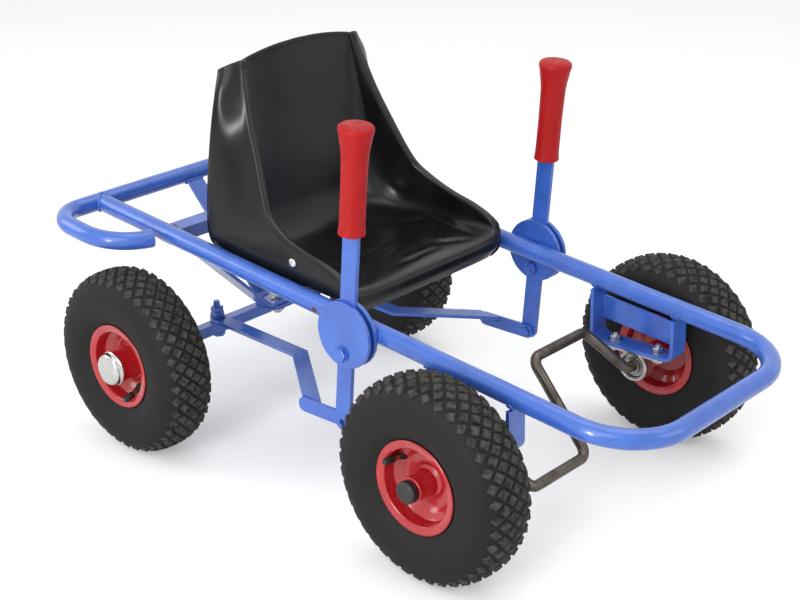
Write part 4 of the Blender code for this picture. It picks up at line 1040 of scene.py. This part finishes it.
def seatShell():
    power = 2 / seat["square"]
    across = [-pi / 2 + pi * i / seat["across"] for i in range(seat["across"] + 1)]
    rows = []
    stations = [[value * mm for value in station] for station in seat["stations"]]
    for cx, cz, ex, ez, inset, sx, sz, tuck in throughPoints(stations, seat["steps"]):
        centre, edge = Vector((cx, 0, seat["pan"] + cz)), Vector((ex, 0, seat["pan"] + ez))
        up = Vector((edge.x - centre.x, 0, max(edge.z - centre.z, 0))).normalized()
        share = max(0.0, min(1.0, (cz - seat["archFrom"]) / (54 * mm)))
        arch = seat["arch"] * share * share * (3 - 2 * share)
        outer = seat["halfWidth"] - inset
        wall = outer - seat["crest"]
        row = []
        for angle in across:
            s, c = sin(angle), max(cos(angle), 0)
            point = centre + (edge - centre) * (1 - c ** power)
            point.y = wall * abs(s) ** power * (1 if s > 0 else -1)
            point.z -= arch * (point.y / wall) ** 2
            if cz < 20 * mm and cx < 10 * mm:
                point.z -= fluteDrop(point.x, point.y) * min(1, c * 1.6) * min(1, (10 * mm - cx) / (12 * mm))
            row.append(point)
        rim = []
        for turn in (0.16, 0.33, 0.5, 0.67, 0.84):
            place = edge + up * sin(turn * pi) * 3 * mm
            place.y = wall + seat["crest"] * (1 - cos(turn * pi)) / 2
            place.z -= arch
            rim.append(place)
        start = Vector((edge.x, outer, edge.z - arch))
        end = Vector((sx, seat["halfWidth"] - tuck, seat["pan"] + sz))
        bulge = (start + end) / 2
        bulge.y = max(end.y, outer)
        for i in range(13):
            t = i / 12
            rim.append(start.lerp(bulge, t).lerp(bulge.lerp(end, t), t))
        rows.append([Vector((p.x, -p.y, p.z)) for p in reversed(rim)] + row + rim)
    bm = bmesh.new()
    grid = [[bm.verts.new(point) for point in row] for row in rows]
    for lower, upper in zip(grid, grid[1:]):
        for i in range(len(lower) - 1):
            bm.faces.new((lower[i], lower[i + 1], upper[i + 1], upper[i]))
    shell = makePiece("seatShell", bm, "seatPlastic", "frame", ["seat"], sharp=70)
    thicken = shell.modifiers.new("wall", "SOLIDIFY")
    thicken.thickness, thicken.offset, thicken.use_even_offset = seat["wall"] - 0.4 * mm, 0, False
    thicken.use_quality_normals = True


def seatBolts():
    for name, side in sides.items():
        low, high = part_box(f"seat_bolt_{name}")
        centre = middle(f"seat_bolt_{name}")
        face = (high.y if side > 0 else low.y) - side * 3.2 * mm
        profile = [(0.05 * mm, -9 * mm), (2.9 * mm, -9 * mm), (2.9 * mm, 0), (6.9 * mm, 0), (6.9 * mm, 0.5 * mm),
                   (6.2 * mm, 1.6 * mm), (4.8 * mm, 2.6 * mm), (2.6 * mm, 3.1 * mm), (0.05 * mm, 3.2 * mm)]
        shape = turned(profile, Vector((centre.x, face, centre.z)), 32, (0, side, 0))
        makePiece(f"seatBolt{name.title()}", shape, "chromePlate", "frame", [f"seat_bolt_{name}"], sharp=40)


seatShell()
seatBolts()
print("seat moulded")

studio = {"ambient": 0.62, "floorColour": (0.88, 0.88, 0.88), "floorLift": 0.24,
          "lamps": [("keyLamp", (0.9, -2.6, 2.3), (2.2, 2.2), 30.0),
                    ("sideLamp", (-2.6, -1.6, 1.8), (1.6, 1.6), 22.0),
                    ("topLamp", (0.2, 0.6, 3.0), (2.4, 2.4), 25.0),
                    ("frontLamp", (2.8, 0.9, 1.6), (1.6, 1.6), 12.0),
                    ("stripLamp", (0.36, -2.5, 0.85), (0.3, 1.1), 22.0)]}


def buildStudio():
    scene = bpy.context.scene
    scene.view_settings.view_transform = "Standard"
    world = bpy.data.worlds.new("paleWorld")
    scene.world = world
    world.use_nodes = True
    tree = world.node_tree
    background = tree.nodes["Background"]
    path = addNode(tree, "ShaderNodeLightPath")
    mirrored = sum2(tree, "MAXIMUM", path.outputs["Is Glossy Ray"], path.outputs["Is Transmission Ray"])
    seen = sum2(tree, "MAXIMUM", path.outputs["Is Camera Ray"], mirrored)
    strength = addNode(tree, "ShaderNodeMapRange", {"Value": seen, "To Min": studio["ambient"], "To Max": 1.0})
    tree.links.new(strength.outputs[0], background.inputs["Strength"])
    background.inputs["Color"].default_value = (1, 1, 1, 1)

    bm = bmesh.new()
    bmesh.ops.create_grid(bm, x_segments=1, y_segments=1, size=30)
    mesh = bpy.data.meshes.new("studioFloor")
    bm.to_mesh(mesh)
    bm.free()
    paper = bpy.data.materials.new("floorPaper")
    paper.use_nodes = True
    tree = paper.node_tree
    shader = tree.nodes["Principled BSDF"]
    shader.inputs["Base Color"].default_value = (*studio["floorColour"], 1)
    shader.inputs["Roughness"].default_value = 0.9
    shader.inputs["Specular IOR Level"].default_value = 0.1
    shader.inputs["Emission Color"].default_value = (1, 1, 1, 1)
    path = addNode(tree, "ShaderNodeLightPath")
    lift = sum2(tree, "MULTIPLY", path.outputs["Is Camera Ray"], studio["floorLift"])
    tree.links.new(lift, shader.inputs["Emission Strength"])
    mesh.materials.append(paper)
    floor = bpy.data.objects.new("studioFloor", mesh)
    scene.collection.objects.link(floor)

    aim = Vector((0, 0, 0.2))
    for name, place, size, power in studio["lamps"]:
        lamp = bpy.data.lights.new(name, "AREA")
        lamp.shape, lamp.energy = "RECTANGLE", power
        lamp.size, lamp.size_y = size
        stand = bpy.data.objects.new(name, lamp)
        stand.location = place
        stand.rotation_euler = (aim - Vector(place)).to_track_quat("-Z", "Y").to_euler()
        scene.collection.objects.link(stand)


buildStudio()
print("studio lit")
